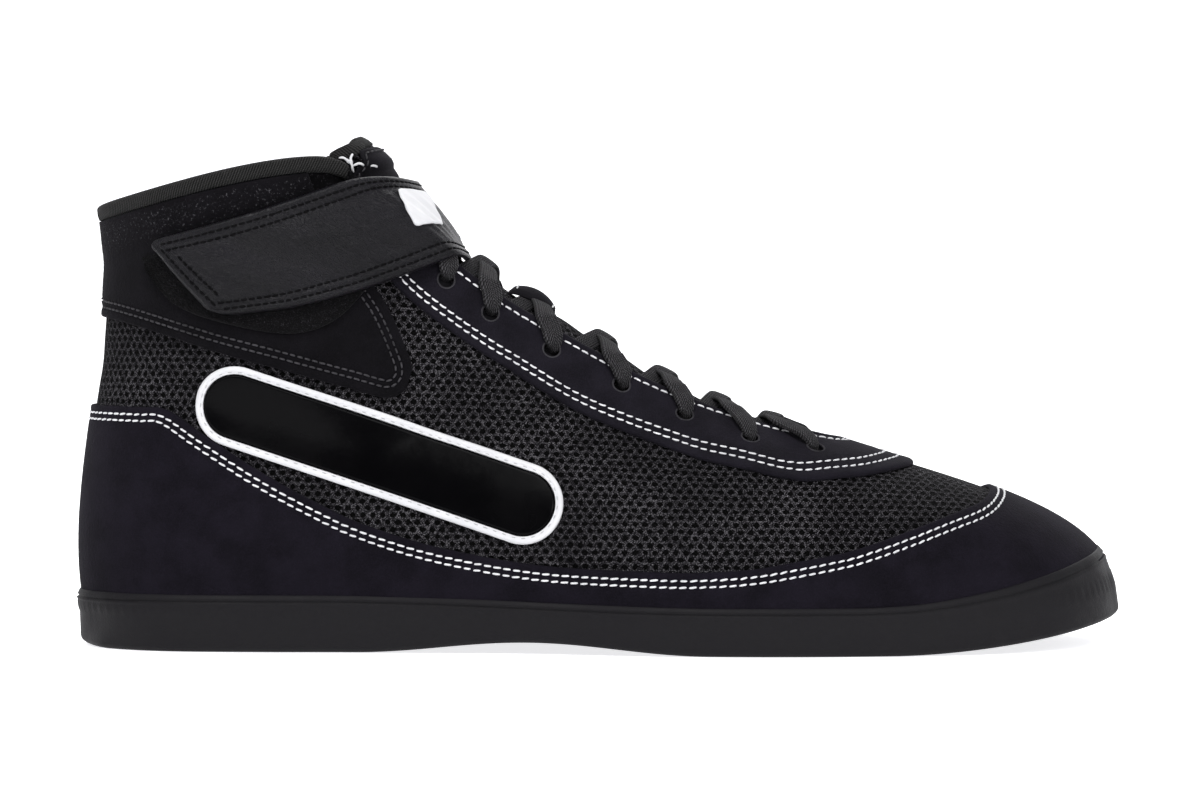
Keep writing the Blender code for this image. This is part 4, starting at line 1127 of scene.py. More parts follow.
def stay_depth(line):
    """Depth inside the eyestay: the lesser of those above its side seam and behind its round front."""
    centre = (STAY_FRONT[0] - 0.5) * SHOE_LENGTH
    length = STAY_FRONT[1] * SHOE_LENGTH
    width = STAY_FRONT[2] * BALL_WIDTH

    def depth_of(place):
        above = line.depth(place)
        forward = np.maximum(place[..., 0] - centre, 0) / length
        sideways = place[..., 1] / width
        behind = (1 - np.hypot(forward, sideways)) * 0.9 * length
        behind = np.where(place[..., 0] < centre - 0.3 * length, 1.0, behind)
        blend = 0.004
        share = np.clip(0.5 + 0.5 * (behind - above) / blend, 0, 1)
        return behind + (above - behind) * share - blend * share * (1 - share)

    return depth_of


def build_eyestay(skin, finish, depth_of):
    """Suede round the throat: a quarter-round outer edge, dented along its stitch rows."""
    station = np.linspace(-11, 11, 430)
    low = skin.crossing(station, depth_of, 0.0, True)
    up = ups_by_distance(skin, station, low, np.ones_like(station), EDGE_STEPS, 20)
    grid_station = np.broadcast_to(station, up.shape)
    place = skin.point(grid_station, up)
    depth = np.maximum(depth_of(place), 0)
    top = skin.point(grid_station, np.ones_like(up))
    inside = np.linalg.norm(top - place, axis=-1)
    ends = (11 - np.abs(grid_station)) * 0.012
    thickness = raw_edge(np.minimum(depth, ends), OVERLAY) - seam_dents(depth, WHITE_ROWS)
    thickness = thickness * (0.45 + 0.55 * between(inside, 0, 0.0009) ** 0.5)
    thickness = thickness - seam_dents(inside, (THROAT_ROW,))
    body = Body()
    body.sheet(skin.lay(grid_station, up, GAP + thickness), skin.lay(grid_station, up, GAP))
    piece = body.piece("suede_eyestay", finish, "eyestay")
    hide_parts("eyestay")
    return piece


def build_ankle_panel(skin, finish, line):
    """Suede round the ankle and heel: between its lower seam and the collar, or its front seam."""
    depth_of = below_line(line)
    count = 330
    turn = np.linspace(-1, 1, count)
    spread = np.sign(turn) * (1 - (1 - np.abs(turn)) ** 1.35)
    probe = np.linspace(7.6, 11.0, 300)
    ups = np.linspace(0.2, 0.999, 160)[:, None]
    reaches = (depth_of(skin.point(probe[None], ups)) > 0.0002).any(0)
    first = probe[np.argmax(reaches)] + 0.004
    station = skin.half + spread * (skin.half - first)
    ups = np.linspace(0.10, 1.0, 420)
    value = depth_of(skin.point(station[None], ups[:, None]))
    columns = np.arange(count)
    inside = value > 0
    none = ~inside.any(0)
    deepest = np.argmax(value, axis=0)
    low_row = np.where(none, deepest, np.argmax(inside, axis=0))
    high_row = np.where(none, deepest, len(ups) - 1 - np.argmax(inside[::-1], axis=0))
    step = ups[1] - ups[0]
    limits = []
    for row, away in ((low_row, -1), (high_row, 1)):
        beyond = np.clip(row + away, 0, len(ups) - 1)
        here, there = value[row, columns], value[beyond, columns]
        share = np.clip(here / np.maximum(here - there, 1e-7), 0, 1)
        limits.append(ups[row] + away * step * share * (beyond != row))
    low, high = limits
    high = np.minimum(high, skin.up_below_edge(station, BINDING_DEPTH + GAP))
    low = np.minimum(low, high - 1e-4)
    middle = (low + high) / 2
    lower = ups_by_distance(skin, station, low, middle, EDGE_STEPS, 12)
    upper = ups_by_distance(skin, station, high, middle, EDGE_STEPS, 12)
    up = np.concatenate([lower, upper[-2::-1]])
    grid_station = np.broadcast_to(station, up.shape)
    place = skin.point(grid_station, up)
    depth = np.maximum(depth_of(place), 0)
    fuzzy = 0.00012 * chance.random(up.shape)
    thickness = raw_edge(depth, OVERLAY) - seam_dents(depth, ANKLE_ROWS, 0.00028)
    below = np.linalg.norm(skin.point(grid_station, np.ones_like(up)) - place, axis=-1)
    coordinates = np.stack([place[..., 0], below - BINDING_DEPTH], -1)
    body = Body()
    body.sheet(
        skin.lay(grid_station, up, GAP + thickness - fuzzy * 0.5),
        skin.lay(grid_station, up, GAP),
        False,
        coordinates,
    )
    piece = body.piece("suede_ankle_panel", finish, "ankle_panel")
    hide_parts("ankle_panel")


def stitches_along(body, path, normal, size, tilt=0.0, bow=0.0):
    """A row of stitches: short rods, their middles proud of the sheet and bowed aside, their ends in it.

    size is the stitches' pitch, length and radius.
    """
    pitch, length, radius = size
    both = even_steps(np.concatenate([path, normal], -1), pitch)
    centre, out = both[:, :3], unit(both[:, 3:])
    run = unit(np.gradient(centre, axis=0))
    side = unit(np.cross(out, run))
    out = np.cross(run, side)
    lean = tilt + 0.04 * chance.standard_normal(len(centre))
    run, side = (
        run * np.cos(lean)[:, None] + side * np.sin(lean)[:, None],
        side * np.cos(lean)[:, None] - run * np.sin(lean)[:, None],
    )
    share = np.array([-1.0, -0.8, -0.4, 0.0, 0.4, 0.8, 1.0])
    thick = np.array([0.45, 0.85, 1.0, 1.0, 1.0, 0.85, 0.45]) * radius
    rise = (0.6 * (1 - np.abs(share) ** 2.5) - 0.05) * radius
    aside = bow * (1 - share**2)
    half = length / 2 * (1 + 0.05 * chance.standard_normal(len(centre)))
    line = (
        centre[:, None]
        + run[:, None] * (share * half[:, None])[..., None]
        + out[:, None] * rise[:, None]
        + side[:, None] * aside[:, None]
    )
    turns = np.arange(6) * math.pi / 3
    circle = side[:, None] * 1.15 * np.cos(turns)[:, None] + out[:, None] * np.sin(turns)[:, None]
    add_rods(body, line[:, :, None] + circle[:, None] * thick[None, :, None, None])


def add_rods(body, rings):
    """Many closed rods at once, from an array of rod, ring, corner and axis."""
    rods, rows, columns = rings.shape[:3]
    size = rows * columns
    faces = grid_quads(rows, columns, True, False)[0]
    low = np.arange(columns)
    high = low + (rows - 1) * columns
    ends = []
    for ring, turned in ((low, True), (high, False)):
        for corner in range(1, columns - 2, 2):
            cell = np.array([ring[0], ring[corner], ring[corner + 1], ring[corner + 2]])
            ends.append(cell[::-1] if turned else cell)
    whole = np.concatenate([faces, np.array(ends)])
    every = whole[None] + (np.arange(rods) * size)[:, None, None]
    body.add(rings.reshape(-1, 3), every.reshape(-1, 4))


def contour(skin, station, depth_of, depth, from_top, distance):
    """Points and normals where the sheet is this deep inside its edge."""
    up = skin.crossing(station, depth_of, depth, from_top)
    return skin.lay(station, up, np.full_like(station, distance)), skin.normal(station, up)


def build_white_stitches(skin, finish, foxing_line, stay_of):
    """White double rows along the foxing's top and the eyestay's edge, and one row round the throat."""
    top = GAP + OVERLAY - 0.00016
    body = Body()
    station = np.linspace(0, skin.rows, 1500)
    for row in WHITE_ROWS:
        path, normal = contour(skin, station, below_line(foxing_line), row, False, top)
        stitches_along(body, path, normal, WHITE_STITCH, tilt=0.10)
    body.piece("foxing_stitches", finish, "foxing")
    body = Body()
    station = np.linspace(-10.9, 10.9, 1400)
    for row in WHITE_ROWS:
        path, normal = contour(skin, station, stay_of, row, True, top)
        stitches_along(body, path, normal, WHITE_STITCH, tilt=0.10, bow=STITCH_BOW)
    station = np.linspace(-10.6, 10.6, 1200)
    up = skin.up_below_edge(station, THROAT_ROW)
    path = skin.lay(station, up, np.full_like(station, top))
    stitches_along(body, path, skin.normal(station, up), WHITE_STITCH)
    body.piece("eyestay_stitches", finish, "eyestay")


def build_dark_stitches(skin, finish, ankle_line):
    """Dark double rows inside the ankle panel's seam."""
    body = Body()
    top = GAP + OVERLAY - 0.0002
    for side in (-1, 1):
        for row in ANKLE_ROWS:
            line = ankle_line.line
            run = unit(np.gradient(line, axis=0))
            inward = np.stack([run[:, 1], -run[:, 0]], -1)
            shifted = line + inward * row
            level = np.stack([shifted[:, 0], 0 * shifted[:, 0], shifted[:, 1]], -1)
            sound = -ankle_line.depth(level) > row * 0.93
            ahead = shifted[:, 0] > -0.485 * SHOE_LENGTH
            shifted = shifted[sound & ahead]
            station, up = skin.touch(side, shifted)
            below = (up < skin.up_below_edge(station, BINDING_DEPTH)) & (shifted[:, 1] < PILE_FROM)
            station, up = station[below], up[below]
            path = skin.lay(station, up, np.full_like(station, top))
            stitches_along(body, path, skin.normal(station, up), ANKLE_STITCH)
    body.piece("ankle_panel_stitches", finish, "ankle_panel")


def build_binding(skin, finish):
    """Knitted band over the collar's edge: a rounded hairpin section carried along the edge."""
    station = np.linspace(11.35, skin.rows - 11.35, 420)
    edge = skin.point(station, 1.0)
    normal = skin.normal(station, np.ones_like(station))
    climb = skin.climb(station)
    turns = np.linspace(0, math.pi, 13)
    wall = UPPER_WALL / 2 + GAP
    thick = 0.0012
    half_way = -BINDING_DEPTH * 0.5
    outer_side = [
        (wall + thick * 0.25, -BINDING_DEPTH - 0.0002),
        (wall + thick * 0.85, -BINDING_DEPTH + 0.0002),
        (wall + thick * 1.05, half_way),
    ]
    inner_side = [(wall, -BINDING_DEPTH), (wall, -BINDING_DEPTH + 0.0003), (wall, half_way)]
    outer_arch = [((wall + thick) * math.cos(t), thick * 1.2 * math.sin(t)) for t in turns]
    inner_arch = [(wall * math.cos(t), GAP * (0.2 + 0.8 * math.sin(t))) for t in turns]
    outer_line = outer_side + outer_arch + [(-out, high) for out, high in outer_side[::-1]]
    inner_line = inner_side + inner_arch + [(-out, high) for out, high in inner_side[::-1]]
    middle = edge - normal * (UPPER_WALL / 2)
    wave = 1 + 0.05 * np.sin(np.linspace(0, 90, len(station)))[None, :, None]
    grids = []
    for line, swell in ((outer_line, wave), (inner_line, 1.0)):
        out = np.array(line)[:, 0][:, None, None]
        high = np.array(line)[:, 1][:, None, None]
        grids.append(middle + normal * out * swell + climb * high)
    coordinates = np.stack(np.meshgrid(lengths_along(edge), lengths_along(np.array(outer_line))), -1)
    body = Body()
    body.sheet(grids[0], grids[1], False, coordinates)
    piece = body.piece("collar_knit_binding", finish, "collar_binding")
    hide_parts("collar_binding")


def bridge(left, right, rise, share):
    """Bezier curves from left to right whose middles stand out by the rise, read at the shares."""
    lift = rise * 4 / 3
    first = left + (right - left) * TONGUE_SHOULDER + lift
    second = right + (left - right) * TONGUE_SHOULDER + lift
    t = share
    rest = 1 - t
    return rest**3 * left + 3 * rest**2 * t * first + 3 * rest * t**2 * second + t**3 * right


def tongue_start(skin, station):
    """Where the tongue's outer side comes out from under the throat's edge."""
    depth = UPPER_WALL + GAP
    under = skin.point(station, 1.0) - skin.normal(station, np.ones_like(station)) * depth
    return under + skin.climb(station) * TONGUE_START


def throat_front(skin, station):
    """Unit vector square to the throat's edge in the side view, out of the shoe."""
    step = 0.1
    run = skin.point(station + step, 1.0) - skin.point(station - step, 1.0)
    return unit(np.stack([run[..., 2], 0 * run[..., 0], -run[..., 0]], -1))


def tongue_rows(skin):
    """Guide rows of the tongue's outer side, from the outer wing over the arch to the inner wing.

    The last arches of the throat lean forward, so that the tip carries on from them without a fold.
    """
    left = np.linspace(1, 11, 61)
    sides = []
    for station in (left, skin.rows - left):
        lip = skin.up_at_height(station, lip_height)
        binding = skin.up_below_edge(station, BINDING_DEPTH + GAP)
        wing = lip + (binding - lip) * (6 + TONGUE_WING) / 7
        depth = UPPER_WALL + GAP + TONGUE_DROP
        rows = [skin.point(station, up) - skin.normal(station, up) * depth for up in (wing, binding)]
        normal = skin.normal(station, np.ones_like(station))
        under = skin.point(station, 1.0) - normal * depth
        start = tongue_start(skin, station) - normal * TONGUE_DROP * 0.7
        sides.append(np.stack([*rows, under, start]))
    outward = throat_front(skin, left)
    crown = ring_curve(skin.crown, left)
    share = np.linspace(0, 1, 9)[1:-1, None, None]
    middle = bridge(sides[0][-1], sides[1][-1], outward * crown, share)
    tip = named_columns(TONGUE_TIP)
    top = [(tip["middle_along"][0] - 0.5) * SHOE_LENGTH, 0.0, tip["middle_up"][0] * TOP_HEIGHT - TIP_STEP]
    lean = (1 - (2 * share - 1) ** 2) * soft(left, LEAN_FROM, left[-1])[:, None]
    middle = middle + (np.array(top) - middle[len(share) // 2, -1]) * lean
    rows = np.concatenate([sides[0], middle, sides[1][::-1]])
    return np.concatenate([rows, tongue_tip(rows[:, -1])], axis=1)


def tongue_tip(last):
    """Rows beyond the throat, each an arch from side to side, spaced as the last row is."""
    tip = named_columns(TONGUE_TIP)
    reached = lengths_along(last)
    turns = (2 * reached / reached[-1] - 1)[:, None]
    bow = 1 - turns**2
    where = np.linspace(0, 2, 13)
    middle_x = (curve_at(tip["middle_along"], where) - 0.5) * SHOE_LENGTH
    side_x = (curve_at(tip["side_along"], where) - 0.5) * SHOE_LENGTH
    x = side_x + (middle_x - side_x) * bow
    y = np.sin(turns * math.pi / 2) * curve_at(tip["side_out"], where) * BALL_WIDTH
    side_z = curve_at(tip["side_up"], where)
    z = (side_z + (curve_at(tip["middle_up"], where) - side_z) * bow) * TOP_HEIGHT
    return np.stack([x, y, z], -1)


class TongueFace:
    """The tongue's outer side: a fine grid whose last column is its rounded top edge."""

    def __init__(self, skin):
        rows = tongue_rows(skin)
        turn = np.linspace(-1, 1, 91)
        share = np.sin(turn * math.pi / 2)
        fine = curve_at(rows, (share + 1) / 2 * (len(rows) - 1))
        reached = lengths_along(fine[len(fine) // 2])
        corner = TONGUE_CORNER * (1 - np.cos(turn * math.pi / 2) ** 0.55)
        wanted = np.linspace(0, 1, 200) * (reached[-1] - corner[:, None])
        where = np.interp(wanted, reached, np.arange(len(reached)))
        self.points = np.stack([curve_at(line, column) for line, column in zip(fine, where)])
        self.outward = unit(np.cross(np.gradient(self.points, axis=0), np.gradient(self.points, axis=1)))
        self.across = share[:, None]
        self.along = wanted
        self.middle = len(fine) // 2
        width = lengths_along(self.points)
        self.coordinates = np.stack([wanted, width - width[self.middle]], -1)

    def nearest(self, places):
        """Number of the grid point nearest to each place."""
        flat = self.points.reshape(-1, 3)
        return np.stack([((flat - place) ** 2).sum(-1).argmin() for place in places.reshape(-1, 3)])

    def settle(self, places, height):
        """Places moved along the face's normal to stand at a height over it."""
        number = self.nearest(places)
        base = self.points.reshape(-1, 3)[number].reshape(places.shape)
        out = self.outward.reshape(-1, 3)[number].reshape(places.shape)
        above = ((places - base) * out).sum(-1, keepdims=True)
        return places + out * (height - above)

    def from_side(self, line):
        """Points and normals of the outer half of the face at places seen from the side."""
        half = self.points[: self.middle].reshape(-1, 3)
        out = self.outward[: self.middle].reshape(-1, 3)
        number = [((half[:, [0, 2]] - place) ** 2).sum(-1).argmin() for place in line]
        normal = out[number]
        place = half[number]
        place[:, [0, 2]] = line
        above = ((place - half[number]) * normal).sum(-1, keepdims=True)
        return place - normal * above, normal


def build_tongue(skin, cloth, knit, patch, threads):
    """Padded mesh tongue: a knitted band over its top edge, a smooth patch below it and loose stitches."""
    face = TongueFace(skin)
    along, across = face.along, face.across
    length = along.max()
    top, out = face.points, face.outward
    edge_near = soft(along, along[:, -1:] - 0.0015, along[:, -1:])
    waves = 0.6 + 0.4 * np.cos(along * 2 * math.pi / PADDING_WAVE)
    plump = PADDING * (1 - across**2) * waves * (1 - edge_near)
    outer = top + out * (plump - 0.0005 * edge_near)[..., None]
    inner = top - out * (TONGUE_THICKNESS + 0.0004 * (1 - across**2) - 0.0008 * edge_near)[..., None]
    body = Body()
    body.sheet(outer, inner, False, face.coordinates)
    tongue = body.piece("padded_tongue", cloth, "tongue")
    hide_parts("tongue")
    build_tongue_band(face, knit)

    to_end = length - along[face.middle]
    columns = np.flatnonzero((to_end < PATCH_LENGTH) & (to_end > PATCH_END))
    rows = np.flatnonzero(np.abs(across[:, 0]) < PATCH_SHARE)
    span = np.s_[rows[0] : rows[-1] + 1, columns[0] : columns[-1] + 1]
    part, part_out, place = outer[span], out[span], face.coordinates[span]
    from_side = np.minimum(place[..., 1] - place[:1, :, 1], place[-1:, :, 1] - place[..., 1])
    from_end = np.minimum(place[..., 0] - place[:, :1, 0], place[:, -1:, 0] - place[..., 0])
    depth = np.minimum(from_side, from_end)
    height = raw_edge(depth, 0.0006) - seam_dents(depth, (0.0014,), 0.0002)
    cover = Body()
    cover.sheet(part + part_out * (0.0003 + height)[..., None], part + part_out * 0.0002, False, place)
    cover.piece("tongue_patch", patch, "tongue")

    dark, white = threads
    stitch = Body()
    for row in (3, len(part) - 4):
        path = part[row, 2:-2] + part_out[row, 2:-2] * 0.0010
        stitches_along(stitch, path, part_out[row, 2:-2], SMALL_STITCH)
    path = part[3:-3, -3] + part_out[3:-3, -3] * 0.0010
    stitches_along(stitch, path, part_out[3:-3, -3], SMALL_STITCH)
    stitch.piece("tongue_patch_stitches", dark, "tongue")

    loose = Body()
    share = np.linspace(-1, 1, 9)
    width = 0.00062 * (1 - 0.4 * share**4)
    for places in LOOSE_STITCHES:
        base, normal = face.from_side(open_curve(in_metres(places), 9))
        rise = 0.0009 + 0.0005 * (1 - share**2)
        path = smooth_path(base + normal.mean(0) * rise[:, None], 9)
        add_lace(loose, path, np.repeat(unit(normal.mean(0))[None], 9, 0), width, width * 0.8, 9)
    loose.piece("loose_white_stitches", white, "tongue")
    return face


def build_tongue_band(face, knit):
    """Knitted band: a rounded hairpin section carried round the tongue's top edge."""
    keep = slice(1, -1)
    edge = face.points[keep, -1]
    out = face.outward[keep, -3]
    run = unit(np.gradient(edge, axis=0))
    inward = unit(np.cross(run, out))
    if (inward[len(inward) // 2] * (face.points[face.middle, -9] - face.points[face.middle, -1])).sum() < 0:
        inward = -inward
    thick = BAND_THICKNESS
    flap = BAND_FLAP
    low = -TONGUE_THICKNESS
    turns = np.linspace(0, math.pi, 9)[1:-1]
    half = -low / 2
    outer_line = [(flap, thick * 0.3), (flap - 0.0003, thick * 0.9)]
    outer_line += [(flap / 2, thick * 1.1), (0.0004, thick)]
    outer_line += [(-thick * math.sin(t), low / 2 + (half + thick) * math.cos(t)) for t in turns]
    outer_line += [(0.0004, low - thick), (flap / 2, low - thick), (flap, low - thick * 0.8)]
    inner_line = [(flap, 0.0001), (flap - 0.0003, 0.0001), (flap / 2, 0.0001), (0.0004, 0.0001)]
    inner_line += [(-0.0001 * math.sin(t), low / 2 + half * math.cos(t)) for t in turns]
    inner_line += [(0.0004, low), (flap / 2, low), (flap, low)]
    grids = []
    for profile in (outer_line, inner_line):
        grids.append(np.stack([face.settle(edge + inward * inset, height) for inset, height in profile]))
    coordinates = np.stack(np.meshgrid(lengths_along(edge), lengths_along(np.array(outer_line))), -1)
    band = Body()
    band.sheet(grids[0][:, ::-1], grids[1][:, ::-1], False, coordinates[:, ::-1])
    band.piece("tongue_knit_binding", knit, "tongue")


def build_keeper(face, leather, thread):
    """Lace keeper: a loop of the tongue's leather that arches over the laces, stitched at both ends."""
    middle = face.points[face.middle]
    x = (np.array(KEEPER_ENDS) - 0.5) * SHOE_LENGTH
    first, last = (int(np.abs(middle[:, 0] - end).argmin()) for end in x)
    first, last = min(first, last), max(first, last)
    share = np.linspace(0, 1, last - first + 1)
    half = KEEPER_WIDTH / 2
    y = np.linspace(-half, half, 15)[:, None]
    line = middle[first : last + 1]
    out = face.outward[face.middle, first : last + 1]
    arch = KEEPER_LIFT * np.sin(math.pi * share) ** 0.6
    sag = 0.0014 * (y / half) ** 2
    centre = face.settle(line[None] + np.array([0.0, 1.0, 0.0]) * y[..., None], 0.0)
    edge = half - np.abs(y)
    ends = np.minimum(share, 1 - share) * np.abs(x[1] - x[0])
    depth = np.minimum(edge, ends[None])
    height = 0.0006 + arch - sag * (0.3 + arch / KEEPER_LIFT)
    thick = raw_edge(depth, 0.0009, 0.0005)
    body = Body()
    body.sheet(
        centre + out[None] * (height + thick)[..., None],
        centre + out[None] * height[..., None],
        False,
        np.stack(np.broadcast_arrays(share * np.abs(x[1] - x[0]), y), -1),
    )
    body.piece("lace_keeper", leather, "tongue")
    stitch = Body()
    for column in (2, len(share) - 3):
        path = centre[2:-2, column] + out[column] * (height[2:-2, column] + thick[2:-2, column])[:, None]
        stitches_along(stitch, path, np.repeat(out[column][None], len(path), 0), SMALL_STITCH)
    stitch.piece("keeper_stitches", thread, "tongue")


def strap_lines(skin, run, across, distance):
    """The strap's points: laid on the skin from the slanted tail, then bridged round the ankle's front.

    run is 0 at the tail, 1 where the strap leaves the outer side, 2 where it meets the inner side and 3 at
    its end. across is 0 on the lower edge and 1 on the upper edge.
    """
    top = open_curve(in_metres(STRAP_TOP), 61)
    bottom = open_curve(in_metres(STRAP_BOTTOM), 61)
    share = np.linspace(0, 1, 61)

    def laid(side, along, edge_share, away):
        x = np.stack([np.interp(along, share, line[:, 0]) for line in (bottom, top)], -1)
        z = np.stack([np.interp(along, share, line[:, 1]) for line in (bottom, top)], -1)
        mixed_x = x[..., 0] + (x[..., 1] - x[..., 0]) * edge_share
        mixed_z = z[..., 0] + (z[..., 1] - z[..., 0]) * edge_share
        station, up = skin.touch(side, np.stack([mixed_x, mixed_z], -1))
        return skin.point(station, up) + skin.normal(station, up) * away[..., None]

    step = 0.04
    ends = []
    for side in (-1, 1):
        end = laid(side, 1.0 + 0 * across, across, distance)
        before = laid(side, 1.0 - step + 0 * across, across, distance)
        ends.append((end, unit(end - before)))
    front = in_metres((STRAP_FRONT_BOTTOM, STRAP_FRONT_TOP))
    goal = front[0] + (front[1] - front[0]) * across[..., None]
    slope = unit(front[1] - front[0])
    goal = goal + np.array([slope[1], -slope[0]]) * (distance - STRAP_OUTER)[..., None]
    (left, left_lean), (right, right_lean) = ends
    start_x = (left[..., 0] + right[..., 0]) / 2
    lean_x = (left_lean[..., 0] + right_lean[..., 0]) / 2
    pull = ((goal[..., 0] - start_x) / (0.75 * lean_x))[..., None]
    first = left + left_lean * pull
    second = right + right_lean * pull
    natural_z = (left[..., 2] + 3 * first[..., 2] + 3 * second[..., 2] + right[..., 2]) / 8
    t = np.clip(run - 1, 0, 1)[..., None]
    rest = 1 - t
    bridged = rest**3 * left + 3 * rest**2 * t * first + 3 * rest * t**2 * second + t**3 * right
    bridged[..., 2] += (goal[..., 1] - natural_z) * 16 * (t * rest)[..., 0] ** 2
    outer = laid(-1, np.clip(run, 0, 1), across, distance)
    inner = laid(1, np.clip(3 - run, 0, 1), across, distance)
    run = run[..., None]
    return np.where(run <= 1, outer, np.where(run >= 2, inner, bridged))


def strap_grid(columns):
    """Run and across of the strap's grid: rows close together at the edges, the tail's corners rounded."""
    near = np.array([0, 0.01, 0.03, 0.06, 0.09, 0.12, 0.15, 0.18, 0.21, 0.25]) * 0.8
    across = np.concatenate([near, np.linspace(0.24, 0.76, 16), 1 - near[::-1]])[:, None]
    share = np.linspace(0, 1, columns)[None]
    edge = np.minimum(across, 1 - across) * STRAP_WIDE
    radius = 0.0035
    cut = radius - np.sqrt(np.clip(radius**2 - np.clip(radius - edge, 0, radius) ** 2, 0, None))
    start = cut / STRAP_STRETCH
    run = start + (3 - 2 * start) * share
    return np.broadcast_arrays(run, across)


def strap_relief(run, across):
    """Height of the strap's face: rounded edges, stitch dents, a plump middle and bend wrinkles."""
    edge = np.minimum(across, 1 - across) * STRAP_WIDE
    ends = np.minimum(run, 3 - run) * STRAP_STRETCH
    slant = np.minimum(edge, ends)
    face = raw_edge(slant, STRAP_THICKNESS, 0.0011)
    dents = seam_dents(slant, STRAP_ROWS, 0.00034, 0.00055)
    plump = 0.0005 * soft(edge, 0.003, 0.009)
    waves = 0.0002 * np.sin(run * 17 + across * 5) * soft(edge, 0.002, 0.008)
    wrinkles = np.sin(run * 60 + across * 9 + 2 * np.sin(run * 11))
    bend = 0.0002 * wrinkles * bell(run - 1.18, 0.22) * soft(edge, 0.002, 0.009)
    return face - dents + plump + waves + bend


def build_strap(skin, leather, thread, plate):
    """Ankle strap with folded edges and two dark stitch rows along each, and the plate on it."""
    run, across = strap_grid(330)
    height = strap_relief(run, across)
    outer = strap_lines(skin, run, across, STRAP_INNER + height)
    inner = strap_lines(skin, run, across, np.full_like(run, STRAP_INNER))
    along = lengths_along(outer[len(outer) // 2])
    coordinates = np.stack([np.broadcast_to(along, run.shape), across * STRAP_WIDE], -1)
    body = Body()
    body.sheet(outer, inner, False, coordinates)
    strap = body.piece("leather_strap", leather, "ankle_strap")
    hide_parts("ankle_strap")

    stitch = Body()

    def sew(run, across):
        top = STRAP_INNER + strap_relief(run, across) + 0.00002
        path = strap_lines(skin, run, across, top)
        above = strap_lines(skin, run, across, top + 0.001)
        stitches_along(stitch, path, unit(above - path), STRAP_STITCH)

    long_way = np.linspace(0.05, 2.95, 900)
    for row in STRAP_ROWS:
        for edge_share in (row / STRAP_WIDE, 1 - row / STRAP_WIDE):
            sew(long_way, np.full_like(long_way, edge_share))
        for place in (row / STRAP_STRETCH, 3 - row / STRAP_STRETCH):
            share = np.linspace(1.6 * row / STRAP_WIDE, 1 - 1.6 * row / STRAP_WIDE, 60)
            sew(np.full_like(share, place), share)
    stitch.piece("strap_stitches", thread, "ankle_strap")
    build_plate(skin, plate)


def build_plate(skin, finish):
    """Plain pale plate on the strap: a round-cornered patch that leans with the strap's front."""
    label = Body()
    u, v = np.meshgrid(np.linspace(-1, 1, 60), np.linspace(-1, 1, 40))
    past = between(np.abs(v), 1 - LABEL_CORNER, 1)
    u = u * (1 - LABEL_CORNER * (1 - np.sqrt(1 - past**2)))
    middle_run, middle_across = sum(LABEL_RUN) / 2, sum(LABEL_ACROSS) / 2
    own_run = middle_run - 0.02 + 0.7 * (LABEL_RUN[1] - middle_run) * u + LABEL_SLANT * v
    own_across = middle_across + (LABEL_ACROSS[1] - middle_across - 0.025) * v
    depth = np.minimum((1 - np.abs(np.linspace(-1, 1, 60))) * 0.006, (1 - np.abs(v)) * 0.006)
    base = STRAP_INNER + strap_relief(own_run, own_across)
    low = strap_lines(skin, own_run, own_across, base + 0.0001)
    high = strap_lines(skin, own_run, own_across, base + 0.0001 + raw_edge(depth, LABEL_THICKNESS, 0.0004))
    label.sheet(high, low)
    piece = label.piece("strap_plate", finish, "strap_label")
    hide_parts("strap_label")


def build_fastening_patch(skin, finish):
    """Fuzzy loop patch on the ankle panel: a thin uneven sheet between its top and bottom lines."""
    columns, rows = 150, 60
    top = open_curve(in_metres(PATCH_TOP), columns)
    bottom = open_curve(in_metres(PATCH_BOTTOM), columns)
    share = np.linspace(0, 1, rows)[:, None, None]
    target = bottom + (top - bottom) * share
    station, up = skin.touch(-1, target)
    edge = np.minimum(np.arange(rows), np.arange(rows)[::-1])[:, None] * 0.0004
    ends = np.minimum(np.arange(columns), np.arange(columns)[::-1])[None] * 0.0004
    depth = np.minimum(edge, ends)
    rough = 0.0004 * chance.random((rows, columns)) * (depth > 0)
    low = 2 * GAP + OVERLAY
    body = Body()
    body.sheet(
        skin.lay(station, up, low + raw_edge(depth, PATCH) + rough),
        skin.lay(station, up, low + 0 * up),
    )
    piece = body.piece("loop_patch", finish, "fastening_patch")
    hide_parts("fastening_patch")


def pill_line(width, count, grow=0.0):
    """Closed outline of the bar, grown outwards: two straight sides and two half circles."""
    start, end = in_metres(PANEL_ENDS)
    along = unit(end - start)
    across = np.array([-along[1], along[0]])
    start = start + along * width / 2
    end = end - along * width / 2
    radius = width / 2 + grow
    straight = np.linalg.norm(end - start)
    whole = 2 * straight + 2 * math.pi * radius
    back = 2 * straight + math.pi * radius
    reached = np.linspace(0, whole, count, endpoint=False)
    first = reached < straight
    second = (reached >= straight) & (reached < straight + math.pi * radius)
    third = (reached >= straight + math.pi * radius) & (reached < back)
    turn = np.where(second, (reached - straight) / radius, (reached - back) / radius)
    turn = turn[:, None]
    along_first = start + along * reached[:, None] - across * radius
    bend_end = end + (along * np.sin(turn) - across * np.cos(turn)) * radius
    along_third = end - along * (reached - straight - math.pi * radius)[:, None] + across * radius
    bend_start = start + (across * np.cos(turn) - along * np.sin(turn)) * radius
    line = np.where(third[:, None], along_third, bend_start)
    line = np.where(second[:, None], bend_end, line)
    return np.where(first[:, None], along_first, line)


